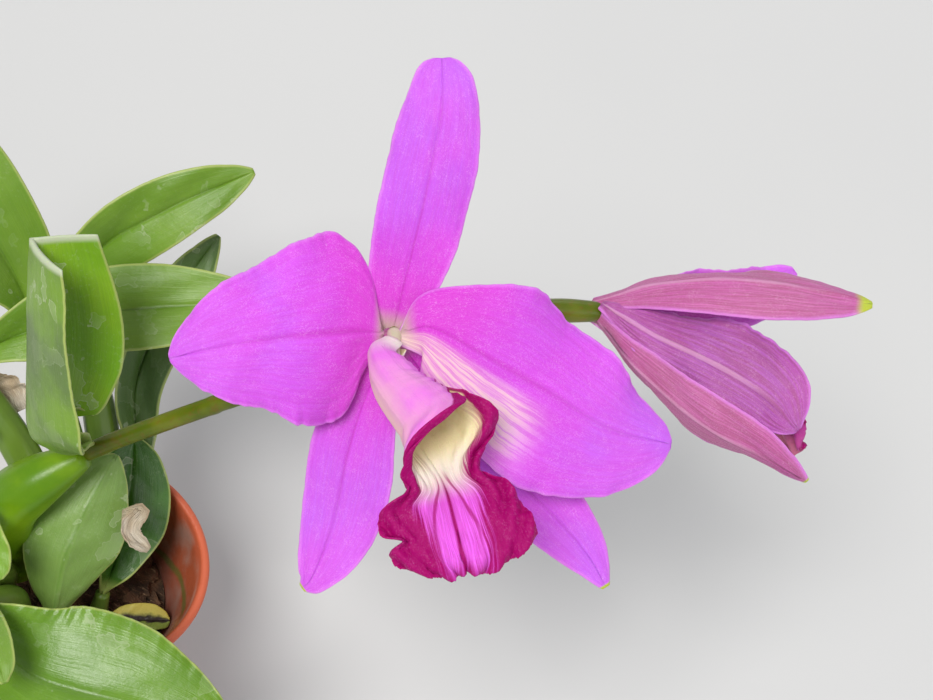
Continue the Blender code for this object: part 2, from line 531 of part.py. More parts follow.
def thick_sheet(name, grid, thick, color):
    """Closed solid around a grid, split into triangles alike on both faces."""
    rows, columns = grid.shape[:2]
    down = np.gradient(grid, axis=0)
    over = np.gradient(grid, axis=1)
    normal = np.cross(over, down)
    normal /= np.linalg.norm(normal, axis=2)[:, :, None]
    top = (grid + normal * thick / 2).reshape(-1, 3)
    bottom = (grid - normal * thick / 2).reshape(-1, 3)
    count = rows * columns
    faces = []

    def at(i, j):
        return i * columns + j

    for i in range(rows - 1):
        for j in range(columns - 1):
            a, b, c, d = at(i, j), at(i, j + 1), at(i + 1, j + 1), at(i + 1, j)
            faces += [(a, b, c), (a, c, d), (count + a, count + c, count + b), (count + a, count + d, count + c)]
    rim = [at(0, j) for j in range(columns)]
    rim += [at(i, columns - 1) for i in range(1, rows)]
    rim += [at(rows - 1, j) for j in range(columns - 2, -1, -1)]
    rim += [at(i, 0) for i in range(rows - 2, 0, -1)]
    for a, b in zip(rim, rim[1:] + rim[:1]):
        faces += [(b, a, count + a), (b, count + a, count + b)]
    return add_mesh(name, np.vstack([top, bottom]), faces, color)


def spindle(name, spine, radii, sides, rings, color, extra=0.0, stretch=0.0):
    """Closed round stem along a spine, with its radius read from stations."""
    places = spread_rows(rings)
    spots, heading = along(spine, places)
    if stretch:
        spots[0] -= heading[0] * stretch
        spots[-1] += heading[-1] * stretch
    reference = unit((0.3, -0.6, 0.2))
    points = []
    faces = []
    for k in range(rings):
        first = unit(np.cross(heading[k], reference))
        second = np.cross(heading[k], first)
        radius = float(value_at(radii, [places[k]])[0]) + extra
        for s in range(sides):
            angle = 2 * math.pi * s / sides
            points.append(spots[k] + radius * (math.cos(angle) * first + math.sin(angle) * second))
    for k in range(rings - 1):
        for s in range(sides):
            t = (s + 1) % sides
            a, b, c, d = k * sides + s, k * sides + t, (k + 1) * sides + t, (k + 1) * sides + s
            faces += [(a, b, c), (a, c, d)]
    tail = len(points)
    points.append(spots[0] - heading[0] * 0.35 * float(radii[0][1]))
    points.append(spots[-1] + heading[-1] * 0.35 * float(radii[-1][1]))
    for s in range(sides):
        t = (s + 1) % sides
        faces.append((t, s, tail))
        faces.append(((rings - 1) * sides + s, (rings - 1) * sides + t, tail + 1))
    return add_mesh(name, points, faces, color)


def turned(name, profile, sides, color):
    """Closed solid turned about the Z axis from an outline that starts and ends on the axis."""
    points = [(0, 0, profile[0][1])]
    faces = []
    for radius, z in profile[1:-1]:
        for s in range(sides):
            angle = 2 * math.pi * s / sides
            points.append((radius * math.cos(angle), radius * math.sin(angle), z))
    points.append((0, 0, profile[-1][1]))
    rings = len(profile) - 2
    for s in range(sides):
        t = (s + 1) % sides
        faces.append((0, 1 + t, 1 + s))
        faces.append((len(points) - 1, 1 + (rings - 1) * sides + s, 1 + (rings - 1) * sides + t))
        for k in range(rings - 1):
            a, b = 1 + k * sides + s, 1 + k * sides + t
            faces.append((a, b, b + sides))
            faces.append((a, b + sides, a + sides))
    return add_mesh(name, points, faces, color)


def combine(base, operands, operation, solver="EXACT"):
    """Apply one Boolean with a collection of operands, then drop the operands."""
    group = bpy.data.collections.new("operands")
    bpy.context.scene.collection.children.link(group)
    for item in operands:
        bpy.context.scene.collection.objects.unlink(item)
        group.objects.link(item)
    change = base.modifiers.new("join", "BOOLEAN")
    change.operand_type = "COLLECTION"
    change.collection = group
    change.operation = operation
    change.solver = solver
    graph = bpy.context.evaluated_depsgraph_get()
    result = bpy.data.meshes.new_from_object(base.evaluated_get(graph))
    base.modifiers.clear()
    base.data = result
    for item in list(group.objects):
        bpy.data.objects.remove(item, do_unlink=True)
    bpy.data.collections.remove(group)
    clean(base)
    return base


def keep_largest(build):
    """Drop every loose island but the one with the most points."""
    left = set(build.verts)
    islands = []
    while left:
        queue = [left.pop()]
        island = set(queue)
        while queue:
            for edge in queue.pop().link_edges:
                for vert in edge.verts:
                    if vert in left:
                        left.discard(vert)
                        island.add(vert)
                        queue.append(vert)
        islands.append(island)
    islands.sort(key=len)
    for island in islands[:-1]:
        bmesh.ops.delete(build, geom=list(island), context="VERTS")


def clean(item):
    """Merge doubled points, dissolve slivers and split the faces into triangles."""
    build = bmesh.new()
    build.from_mesh(item.data)
    bmesh.ops.remove_doubles(build, verts=build.verts, dist=0.00002)
    bmesh.ops.dissolve_degenerate(build, edges=build.edges, dist=0.00001)
    bmesh.ops.triangulate(build, faces=build.faces)
    keep_largest(build)
    build.to_mesh(item.data)
    build.free()


def make_pot():
    """Tapered pot with a rolled rim and drain holes in its floor."""
    slope = (POT_RIM_RADIUS - 1.7 - POT_BASE_RADIUS) / (POT_HEIGHT - 6)
    shoulder = POT_BASE_RADIUS + slope * (POT_HEIGHT - 7)
    roll = POT_RIM_ROLL / 2
    centre = POT_RIM_RADIUS - roll
    outline = [(0, 0.0), (POT_BASE_RADIUS - 1.2, 0.0), (POT_BASE_RADIUS, 1.2)]
    outline.append((shoulder, POT_HEIGHT - 5.5))
    for degrees in (-45, 5, 55, 105, 160):
        angle = math.radians(degrees)
        z = POT_HEIGHT - roll + roll * math.sin(angle)
        outline.append((centre + roll * math.cos(angle), min(z, POT_HEIGHT)))
    outline.append((shoulder - POT_WALL, POT_HEIGHT - 6.5))
    outline.append((POT_BASE_RADIUS - POT_WALL + 0.2, POT_FLOOR + 1.2))
    outline.append((POT_BASE_RADIUS - POT_WALL - 1.0, POT_FLOOR))
    outline.append((0, POT_FLOOR))
    pot = turned("pot", outline, POT_SIDES, (0.62, 0.22, 0.14))
    drills = []
    for k in range(DRAIN_HOLES):
        angle = 2 * math.pi * (k + 0.5) / DRAIN_HOLES
        x = DRAIN_HOLE_CIRCLE * math.cos(angle)
        y = DRAIN_HOLE_CIRCLE * math.sin(angle)
        path = [(x, y, -2.0), (x, y, 2.0), (x, y, POT_FLOOR + 2.0)]
        drills.append(spindle("drill", path, [(0, DRAIN_HOLE_RADIUS), (1, DRAIN_HOLE_RADIUS)], 12, 3, (0, 0, 0)))
    return combine(pot, drills, "DIFFERENCE")


def inner_radius(z):
    """Radius of the pot's inner wall at a height."""
    slope = (POT_RIM_RADIUS - 1.7 - POT_BASE_RADIUS) / (POT_HEIGHT - 6)
    return POT_BASE_RADIUS - POT_WALL + 0.15 + slope * (z - POT_FLOOR - 1.2)


def bark_chunk(rng, centre, size):
    """One rough piece of bark with skewed corners."""
    turn = rng.uniform(0, math.pi)
    lean = rng.uniform(-0.45, 0.45)
    points = []
    for x, y, z in [(a, b, c) for a in (-1, 1) for b in (-1, 1) for c in (-1, 1)]:
        local = [x * size * rng.uniform(0.78, 1.0), y * size * rng.uniform(0.42, 0.62), z * size * rng.uniform(0.28, 0.4)]
        lx = local[0] * math.cos(lean) - local[2] * math.sin(lean)
        lz = local[0] * math.sin(lean) + local[2] * math.cos(lean)
        px = lx * math.cos(turn) - local[1] * math.sin(turn)
        py = lx * math.sin(turn) + local[1] * math.cos(turn)
        points.append((centre[0] + px, centre[1] + py, centre[2] + lz))
    faces = [(0, 1, 3, 2), (4, 6, 7, 5), (0, 4, 5, 1), (2, 3, 7, 6), (0, 2, 6, 4), (1, 5, 7, 3)]
    split = []
    for a, b, c, d in faces:
        split += [(a, b, c), (a, c, d)]
    return add_mesh("chunk", points, split, (0, 0, 0))


def make_bark():
    """Bark that fills the pot, with loose chunks on top and a plain hole for each stem."""
    low = inner_radius(BARK_BOTTOM + 1.5) - BARK_GAP
    high = inner_radius(BARK_TOP) - BARK_GAP
    outline = [(0, BARK_BOTTOM), (low - 1.6, BARK_BOTTOM), (low, BARK_BOTTOM + 1.6), (high, BARK_TOP - 0.5),
               (high - 0.8, BARK_TOP), (0, BARK_TOP)]
    bark = turned("potting_bark", outline, 28, (0.2, 0.12, 0.07))
    rng = random.Random(BARK_SEED)
    chunks = []
    for k in range(BARK_CHUNKS):
        size = rng.uniform(3.2, 6.0)
        radius = (high - size - 0.6) * math.sqrt((k + 0.5) / BARK_CHUNKS)
        angle = k * 2.39996 + rng.uniform(-0.2, 0.2)
        z = BARK_TOP + rng.uniform(0.2, 2.2)
        chunks.append(bark_chunk(rng, (radius * math.cos(angle), radius * math.sin(angle), z), size))
    combine(bark, chunks, "UNION")
    holes = []
    for spec in BULBS.values():
        holes.append(spindle("hole", spec["spine"], spec["radii"], BULB_SIDES, 9, (0, 0, 0), HOLE_GAP, HOLE_GAP))
    return combine(bark, holes, "DIFFERENCE")


def place(grid, bloom):
    """Turn a grid from a bloom's own directions into the plant's."""
    origin = np.array(FRONT_BLOOM if bloom == "front" else SIDE_BLOOM)
    frame = np.array([BLOOM_ACROSS, BLOOM_UP, BLOOM_OUT])
    return grid @ frame + origin


def make_bulbs():
    """One pseudobulb for each growth."""
    for name, spec in BULBS.items():
        spindle(name, spec["spine"], spec["radii"], BULB_SIDES, 9, spec["color"])


def make_leaves():
    """Leaves and dead pieces."""
    for name, spec in LEAVES.items():
        grid = blade_grid(spec, LEAF_ROWS, LEAF_COLUMNS)
        thick_sheet(name, grid, LEAF_THICK, spec["color"])
    for name, spec in DRY_PIECES.items():
        grid = blade_grid(spec, 9, 9)
        thick_sheet(name, grid, spec["thick"], spec["color"])


def make_stem():
    """Flower stem with its joint and the two bloom stalks, grown as one piece."""
    radii = [(0, STEM_RADIUS), (0.5, STEM_RADIUS), (0.9, STEM_RADIUS + 0.2), (1, NODE_RADIUS)]
    stem = spindle("flower_stem", STALK, radii, 12, 12, (0.5, 0.5, 0.2))
    stalk = [(0, 2.4), (0.4, 2.2), (0.8, OVARY_RADIUS), (1, 2.0)]
    first = spindle("stalk", FRONT_STALK, stalk, 12, 9, (0, 0, 0))
    second = spindle("stalk", SIDE_STALK, stalk, 12, 9, (0, 0, 0))
    combine(stem, [first, second], "UNION")


def make_blooms():
    """Sepals, petals, lip and column of both blooms."""
    for bloom, tepals, color in (("front", FRONT_TEPALS, (0.72, 0.18, 0.75)), ("side", SIDE_TEPALS, (0.7, 0.35, 0.6))):
        for name, spec in tepals.items():
            grid = place(blade_grid(spec, TEPAL_ROWS, TEPAL_COLUMNS), bloom)
            thick_sheet(name, grid, TEPAL_THICK, color)
    grid = place(blade_grid(FRONT_LIP, LIP_ROWS, LIP_COLUMNS), "front")
    thick_sheet("front_lip", grid, LIP_THICK, (0.75, 0.05, 0.4))
    grid = place(blade_grid(SIDE_LIP, SIDE_LIP_ROWS, SIDE_LIP_COLUMNS), "side")
    thick_sheet("side_lip", grid, LIP_THICK, (0.75, 0.05, 0.4))
    for name, spec in COLUMNS.items():
        spine = place(np.array(spec["spine"], float), spec["bloom"])
        spindle(name, spine, spec["radii"], 10, 7, (0.9, 0.75, 0.85))


clear_scene()
make_pot()
make_bark()
make_bulbs()
make_leaves()
make_stem()
make_blooms()
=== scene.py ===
"""Looks of a potted cattleya orchid with two blooms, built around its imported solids.

Sizes are in millimetres until a mesh is made. The origin is the middle of the pot's base and +Z goes up.
"""
import sys
import json
import logging
import math
import random
from dataclasses import dataclass, field, replace
from enum import Enum
from typing import Any, Sequence

import bmesh
import bpy
import numpy as np
from mathutils import Matrix, Vector, noise

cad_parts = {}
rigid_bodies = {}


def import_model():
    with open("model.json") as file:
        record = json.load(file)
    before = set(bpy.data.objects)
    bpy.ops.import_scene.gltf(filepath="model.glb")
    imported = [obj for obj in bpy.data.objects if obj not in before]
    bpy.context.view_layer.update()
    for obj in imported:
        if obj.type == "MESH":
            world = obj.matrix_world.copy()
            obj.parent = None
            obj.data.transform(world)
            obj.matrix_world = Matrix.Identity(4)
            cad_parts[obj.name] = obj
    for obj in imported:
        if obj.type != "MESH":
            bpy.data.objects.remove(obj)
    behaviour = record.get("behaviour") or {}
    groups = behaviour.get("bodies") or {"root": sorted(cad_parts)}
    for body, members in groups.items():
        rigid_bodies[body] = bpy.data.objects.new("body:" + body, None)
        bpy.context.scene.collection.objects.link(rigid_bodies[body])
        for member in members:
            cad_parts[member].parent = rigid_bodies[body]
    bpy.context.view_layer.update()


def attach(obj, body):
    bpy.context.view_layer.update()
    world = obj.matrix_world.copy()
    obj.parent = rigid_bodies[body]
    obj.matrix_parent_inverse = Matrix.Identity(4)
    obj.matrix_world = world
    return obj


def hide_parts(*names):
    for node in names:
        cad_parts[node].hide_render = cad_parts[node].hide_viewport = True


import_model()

MM = 0.001
BODY = "root"
LOG = logging.getLogger("orchid")

Point = tuple[float, float, float]
Color = tuple[float, float, float]
Stations = tuple[tuple[float, ...], ...]


class BloomName(Enum):
    """The two blooms, by where each ovary ends."""

    FRONT = (46.6, 20.3, 213.3)
    SIDE = (87.4, 66.4, 203.4)


BLOOM_AXES = np.array([(0.8575, 0.418, 0.3), (-0.5145, 0.6966, 0.5), (0.0, -0.5831, 0.8124)])
FULL_TURN = 2 * math.pi
LOOK_AHEAD = 0.02
CURL_STEPS = 25
CALM_WIDTH = 5.0
EDGE_SHARE = 0.42
BODY_SHARE = 0.58
ROUNDING = 0.16
GOLDEN_ANGLE = 2.39996


# Curves and meshes


@dataclass(frozen=True)
class SmoothPath:
    """Smooth curve through a few points."""

    points: tuple[tuple[float, ...], ...]

    def polyline(self, steps: int = 16) -> np.ndarray:
        """Sample the curve.

        Args:
            steps: samples between two neighbouring points.

        Returns:
            One row for each sample.
        """
        pts = np.asarray(self.points, float)
        ends = np.vstack([2 * pts[0] - pts[1], pts, 2 * pts[-1] - pts[-2]])
        out = []
        for k in range(len(pts) - 1):
            a, b, c, d = ends[k:k + 4]
            for t in np.arange(steps) / steps:
                bend = (2 * a - 5 * b + 4 * c - d) * t * t + (3 * b - a - 3 * c + d) * t ** 3
                out.append(0.5 * (2 * b + (c - a) * t + bend))
        out.append(pts[-1])
        return np.array(out)

    def at(self, places: np.ndarray) -> tuple[np.ndarray, np.ndarray]:
        """Read positions and directions.

        Args:
            places: fractions of the curve's length.

        Returns:
            Positions, and unit directions.
        """
        curve = self.polyline()
        steps = np.linalg.norm(np.diff(curve, axis=0), axis=1)
        length = np.concatenate([[0], np.cumsum(steps)])
        length = length / length[-1]

        def read(where: np.ndarray) -> np.ndarray:
            """Positions at fractions of the length."""
            return np.array([np.interp(where, length, curve[:, k]) for k in range(3)]).T

        heading = read(np.clip(places + LOOK_AHEAD, 0, 1)) - read(np.clip(places - LOOK_AHEAD, 0, 1))
        return read(places), heading / np.linalg.norm(heading, axis=1)[:, None]

    def length(self) -> float:
        """Length of the curve."""
        return float(np.linalg.norm(np.diff(self.polyline(), axis=0), axis=1).sum())


def stations_at(stations: Stations, places: np.ndarray, column: int = 1) -> np.ndarray:
    """Interpolate one column of a list of stations.

    Args:
        stations: rows that start with a place from 0 to 1.
        places: where to read.
        column: which value of a row, or the last one where a row has fewer.

    Returns:
        One value for each place.
    """
    column = min(column, len(stations[0]) - 1)
    table = SmoothPath(tuple((s[0], s[column], 0.0) for s in stations)).polyline(8)
    return np.interp(places, np.maximum.accumulate(table[:, 0]), table[:, 1])


def directions_at(directions: Sequence[Point], places: np.ndarray) -> np.ndarray:
    """Blend directions along a blade.

    Args:
        directions: evenly spaced from base to tip.
        places: where to read.

    Returns:
        One direction for each place.
    """
    knots = np.linspace(0, 1, len(directions))
    table = np.asarray(directions, float)
    return np.array([np.interp(places, knots, table[:, k]) for k in range(3)]).T


def waves(places: np.ndarray, counts: Sequence[float], seed: int) -> np.ndarray:
    """Add a few sine waves with seeded starts.

    Args:
        places: where to read.
        counts: number of waves from 0 to 1.
        seed: start of the random phases.

    Returns:
        Values from about -1 to 1.
    """
    rng = random.Random(seed)
    total = np.zeros_like(places)
    for count in counts:
        total += np.sin(FULL_TURN * (count * places + rng.random())) * rng.uniform(0.6, 1.0)
    return total / len(counts)


@dataclass
class MeshParts:
    """Points, faces and named values of a mesh being made, in millimetres."""

    points: np.ndarray
    faces: list[tuple[int, ...]]
    vectors: dict[str, np.ndarray] = field(default_factory=dict)

    def make(self, name: str) -> bpy.types.Object:
        """Make a smooth-shaded object.

        Args:
            name: the object's name.

        Returns:
            The object, linked to the scene.
        """
        mesh = bpy.data.meshes.new(name)
        mesh.from_pydata((np.asarray(self.points, float) * MM).tolist(), [], self.faces)
        for key, values in self.vectors.items():
            layer = mesh.attributes.new(key, "FLOAT_VECTOR", "POINT")
            layer.data.foreach_set("vector", np.asarray(values, np.float32).ravel())
        mesh.polygons.foreach_set("use_smooth", [True] * len(mesh.polygons))
        mesh.update()
        item = bpy.data.objects.new(name, mesh)
        bpy.context.scene.collection.objects.link(item)
        return item


def turn_outward(item: bpy.types.Object) -> None:
    """Make the faces of a closed mesh look outward."""
    build = bmesh.new()
    build.from_mesh(item.data)
    bmesh.ops.recalc_face_normals(build, faces=build.faces)
    build.to_mesh(item.data)
    build.free()


def apply_modifiers(item: bpy.types.Object) -> None:
    """Replace an object's mesh by its evaluated one."""
    graph = bpy.context.evaluated_depsgraph_get()
    result = bpy.data.meshes.new_from_object(item.evaluated_get(graph))
    item.modifiers.clear()
    item.data = result


def hand_over(
    item: bpy.types.Object, material: bpy.types.Material, slot: str, *nodes: str
) -> bpy.types.Object:
    """Give a piece its finish, its body and the nodes that it stands for.

    Args:
        item: the finished piece.
        material: its finish.
        slot: not used.
        nodes: solids that the piece replaces.

    Returns:
        The piece.
    """
    item.data.materials.append(material)
    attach(item, BODY)
    if nodes:
        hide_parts(*nodes)
    LOG.info("%s: %d faces", item.name, len(item.data.polygons))
    return item


# Blades


@dataclass(frozen=True)
class BladeShape:
    """Form of a leaf, sepal, petal or lip, the same as in its solid.

    Widths, curl and flare hold (place, one side, other side), or (place, both sides). Angles are in degrees.
    """

    spine: tuple[Point, ...]
    facing: tuple[Point, ...]
    widths: Stations
    curl: Stations
    fold: Stations = ((0, 0), (1, 0))
    ripple: tuple[float, float, float] = (0.0, 1.0, 0.0)
    flare: Stations = ((0, 0), (1, 0))
    edge_ripple: Stations = ()
    edge_waves: tuple[float, float] = (0.0, 0.0)
    reach: float = 0.0
    notch: float = 0.0
    slant: float = 0.0
    lean: float = 0.0

    def column(self, places: np.ndarray, v: float, relief: "Relief") -> tuple[np.ndarray, np.ndarray]:
        """Points of one line from base to tip.

        Args:
            places: row places from 0 to 1.
            v: place across, from -1 to 1.
            relief: finer form of the visible surface.

        Returns:
            Points, and the sheet's half width at each.
        """
        spots, heading = SmoothPath(self.spine).at(places)
        up = directions_at(self.facing, places)
        up -= (up * heading).sum(axis=1)[:, None] * heading
        up /= np.linalg.norm(up, axis=1)[:, None]
        side = np.cross(heading, up)
        edge = 1 if v < 0 else 2
        half = stations_at(self.widths, places, edge) * relief.margin(places, v)
        ease = np.minimum(1.0, half / CALM_WIDTH)
        fold = np.radians(stations_at(self.fold, places)) * ease
        curl = np.radians(stations_at(self.curl, places, edge)) * ease
        flare = np.radians(stations_at(self.flare, places, edge)) * ease
        steps = np.linspace(0, abs(v), CURL_STEPS)
        turn = fold[:, None] + curl[:, None] * steps[None, :] + flare[:, None] * steps[None, :] ** 4
        lateral = half * abs(v) * np.cos(turn).mean(axis=1)
        height = half * abs(v) * np.sin(turn).mean(axis=1)
        last = turn[:, -1]
        sign = 1 if v >= 0 else -1
        normal = up * np.cos(last)[:, None] - side * (sign * np.sin(last))[:, None]
        lift = self.lift(places, v, ease) + relief.lift(places, v, half)
        point = spots + side * (sign * lateral)[:, None] + up * height[:, None]
        forward = self.lean * height * np.minimum(1.0, places / 0.4)
        return point + normal * lift[:, None] + heading * forward[:, None], half

    def lift(self, places: np.ndarray, v: float, ease: np.ndarray) -> np.ndarray:
        """Height of the margin's waves.

        Args:
            places: row places.
            v: place across.
            ease: how far the narrow ends are calmed.

        Returns:
            Height at each row.
        """
        if not self.edge_ripple:
            size, count, start = self.ripple
            phase = count * places + start + (0.27 if v > 0 else 0.0)
            calm = np.sin(math.pi * np.clip(places, 0, 1)) ** 0.35
            return size * ease * abs(v) ** 2.2 * np.sin(FULL_TURN * phase) * calm
        size = stations_at(self.edge_ripple, places)
        along, across = self.edge_waves
        phase = along * places + across * abs(v) + (0.35 if v > 0 else 0.0)
        front = np.clip((places / self.shorten(v) - 0.78) / 0.22, 0, 1) ** 1.5
        return size * np.maximum(abs(v) ** 2.4, front) * np.sin(FULL_TURN * phase)

    def shorten(self, v: float) -> float:
        """How far along the spine a line across place v reaches."""
        notch = self.notch * max(0.0, 1 - abs(v) / 0.3)
        return 1 - self.reach * abs(v) ** 2.6 - notch - self.slant * (1 - v) / 2


@dataclass(frozen=True)
class Relief:
    """Finer form that the visible blade has beyond its solid, in millimetres."""

    groove: float = 0.3
    groove_width: float = 0.05
    ribs: float = 0.05
    rib_count: float = 9.0
    swell: float = 0.3
    scallop: float = 0.004
    scallop_count: float = 16.0
    nicks: tuple[tuple[float, float, float, float], ...] = ()
    frill: float = 0.0
    frill_count: float = 26.0
    tooth: float = 0.0
    tooth_count: float = 34.0
    seed: int = 1

    def reach(self, v: float) -> float:
        """Share of its length that a line across place v keeps at a toothed front edge."""
        if not self.tooth:
            return 1.0
        place = np.array([0.5 + 0.5 * v])
        counts = (self.tooth_count, self.tooth_count * 1.7)
        return 1.0 - self.tooth * (0.5 + 0.5 * float(waves(place, counts, self.seed)[0]))

    def margin(self, places: np.ndarray, v: float) -> np.ndarray:
        """Share of the half width that is kept, with small scallops and nicks.

        Args:
            places: row places.
            v: place across.

        Returns:
            A factor for each row.
        """
        side = 11 if v < 0 else 17
        counts = (self.scallop_count, self.scallop_count * 1.9, self.scallop_count * 3.1)
        keep = 1 + self.scallop * waves(places, counts, self.seed + side)
        for place, edge, depth, width in self.nicks:
            if edge * v > 0:
                keep = keep - depth * abs(v) ** 3 * np.exp(-((places - place) / width) ** 2)
        return keep

    def lift(self, places: np.ndarray, v: float, half: np.ndarray) -> np.ndarray:
        """Height of the midrib's groove, the ribs, slow swells and the margin's frill.

        Args:
            places: row places.
            v: place across.
            half: not used.

        Returns:
            Height at each row.
        """
        body = np.clip(places / 0.12, 0, 1)
        if not self.tooth:
            body = body * np.clip((1 - places) / 0.1, 0, 1)
        groove = -self.groove * math.exp(-(v / self.groove_width) ** 2) * (0.35 + 0.65 * body)
        ribs = self.ribs * math.sin(math.pi * self.rib_count * v) * body
        drift = places + 0.31 * v
        swell = self.swell * body * waves(drift, (1.3, 2.6, 4.1), self.seed)
        side = 3 if v < 0 else 5
        counts = (self.frill_count, self.frill_count * 1.7)
        frill = self.frill * abs(v) ** 7 * waves(places, counts, self.seed + side) * body
        if self.tooth:
            front = np.clip((places - 0.8) / 0.2, 0, 1) ** 2
            across = np.full_like(places, 0.5 + 0.5 * v)
            frill = frill + 0.6 * self.frill * front * waves(across, (8.0, 17.0), self.seed + 9)
        return groove + ribs + swell + frill


@dataclass
class Blade:
    """One leaf, sepal, petal, lip or papery piece."""

    node: str
    shape: BladeShape
    finish: "Finish"
    slot: str
    thick: float = 0.9
    relief: Relief = field(default_factory=Relief)
    rows: int = 80
    columns: int = 41
    bloom: BloomName | None = None
    root: float = 0.0

    def grid(self) -> tuple[np.ndarray, np.ndarray, np.ndarray]:
        """Sample the middle surface.

        Returns:
            Points, place along and across, and flattened place in millimetres.
        """
        across = np.linspace(-1, 1, self.columns)
        across = np.sign(across) * (1 - (1 - np.abs(across)) ** 1.12)
        points = np.zeros((self.rows, self.columns, 3))
        place = np.zeros((self.rows, self.columns, 3))
        flat = np.zeros((self.rows, self.columns, 3))
        length = SmoothPath(self.shape.spine).length()
        t = np.linspace(0, 1, self.rows)
        rows = 0.6 * t + 0.4 * (1 - np.cos(math.pi * t)) / 2
        for j, v in enumerate(across):
            places = rows * self.shape.shorten(v) * self.relief.reach(v)
            points[:, j], half = self.shape.column(places, v, self.relief)
            place[:, j, 0] = rows
            place[:, j, 1] = v
            flat[:, j, 0] = v * half
            flat[:, j, 1] = places * length
            flat[:, j, 2] = (1 - abs(v)) * half
        if self.root:
            back = points[0] - points[1]
            back /= np.linalg.norm(back, axis=1)[:, None]
            fade = np.exp(-np.arange(self.rows) / 3.0)[:, None, None]
            points = points + back[None, :, :] * self.root * fade
        if self.bloom:
            points = points @ BLOOM_AXES + np.array(self.bloom.value)
        return points, place, flat

    def build(self) -> bpy.types.Object:
        """Make the blade as a closed sheet with thin rounded margins.

        Returns:
            The finished piece.
        """
        grid, place, flat = self.grid()
        normal = np.cross(np.gradient(grid, axis=1), np.gradient(grid, axis=0))
        normal /= np.linalg.norm(normal, axis=2)[:, :, None]
        v = place[0, :, 1]
        thin = EDGE_SHARE + BODY_SHARE * (1 - np.abs(v) ** 5)
        depth = normal * (self.thick / 2 * thin)[None, :, None]
        rows, columns = grid.shape[:2]
        count = rows * columns
        index = np.arange(count).reshape(rows, columns)
        corners = (index[:-1, :-1], index[:-1, 1:], index[1:, 1:], index[1:, :-1])
        front = np.stack([corner.ravel() for corner in corners], axis=1)
        faces = front.tolist() + (front[:, [0, 3, 2, 1]] + count).tolist()
        rim = np.concatenate([index[0, :], index[1:, -1], index[-1, -2::-1], index[-2:0:-1, 0]])
        middle = grid.reshape(-1, 3)[rim]
        inner = np.clip(rim % columns, 1, columns - 2) + np.clip(rim // columns, 1, rows - 2) * columns
        out = middle - grid.reshape(-1, 3)[inner]
        out /= np.maximum(np.linalg.norm(out, axis=1), 1e-6)[:, None]
        middle = middle + out * self.thick * ROUNDING
        for k in range(len(rim)):
            n = (k + 1) % len(rim)
            p, q = int(rim[k]), int(rim[n])
            faces.append((q, p, 2 * count + k, 2 * count + n))
            faces.append((p + count, q + count, 2 * count + n, 2 * count + k))
        points = np.vstack([(grid + depth).reshape(-1, 3), (grid - depth).reshape(-1, 3), middle])
        top, low = place.reshape(-1, 3).copy(), place.reshape(-1, 3).copy()
        top[:, 2] = 1.0
        edge = low[rim].copy()
        edge[:, 2] = 0.5
        spread = flat.reshape(-1, 3)
        vectors = {"blade": np.vstack([top, low, edge]), "flat": np.vstack([spread, spread, spread[rim]])}
        item = MeshParts(points, [tuple(f) for f in faces], vectors).make(self.node + "_fine")
        return hand_over(item, self.finish.material(self.node), self.slot, self.node)


# Node trees


class Value:
    """A number or colour that changes over a surface, with plain arithmetic on it."""

    def __init__(self, nodes: "Nodes", socket: bpy.types.NodeSocket) -> None:
        """Wrap an output socket."""
        self.nodes = nodes
        self.socket = socket

    def __mul__(self, other: Any) -> "Value":
        """Product."""
        return self.nodes.math("MULTIPLY", self, other)

    def __add__(self, other: Any) -> "Value":
        """Sum."""
        return self.nodes.math("ADD", self, other)

    def __sub__(self, other: Any) -> "Value":
        """Difference."""
        return self.nodes.math("SUBTRACT", self, other)

    def __rsub__(self, other: float) -> "Value":
        """Difference from a number."""
        return self.nodes.math("SUBTRACT", other, self)

    def __or__(self, other: Any) -> "Value":
        """The larger of two."""
        return self.nodes.math("MAXIMUM", self, other)

    def __abs__(self) -> "Value":
        """Distance from zero."""
        return self.nodes.math("ABSOLUTE", self)

    def span(self, low: float, high: float, to_low: float = 0.0, to_high: float = 1.0) -> "Value":
        """Map a range smoothly onto another.

        Args:
            low: start of the range.
            high: end of the range.
            to_low: result at the start.
            to_high: result at the end.

        Returns:
            The result.
        """
        inputs = dict(enumerate((self, low, high, to_low, to_high)))
        return self.nodes.out("ShaderNodeMapRange", 0, inputs, interpolation_type="SMOOTHSTEP")


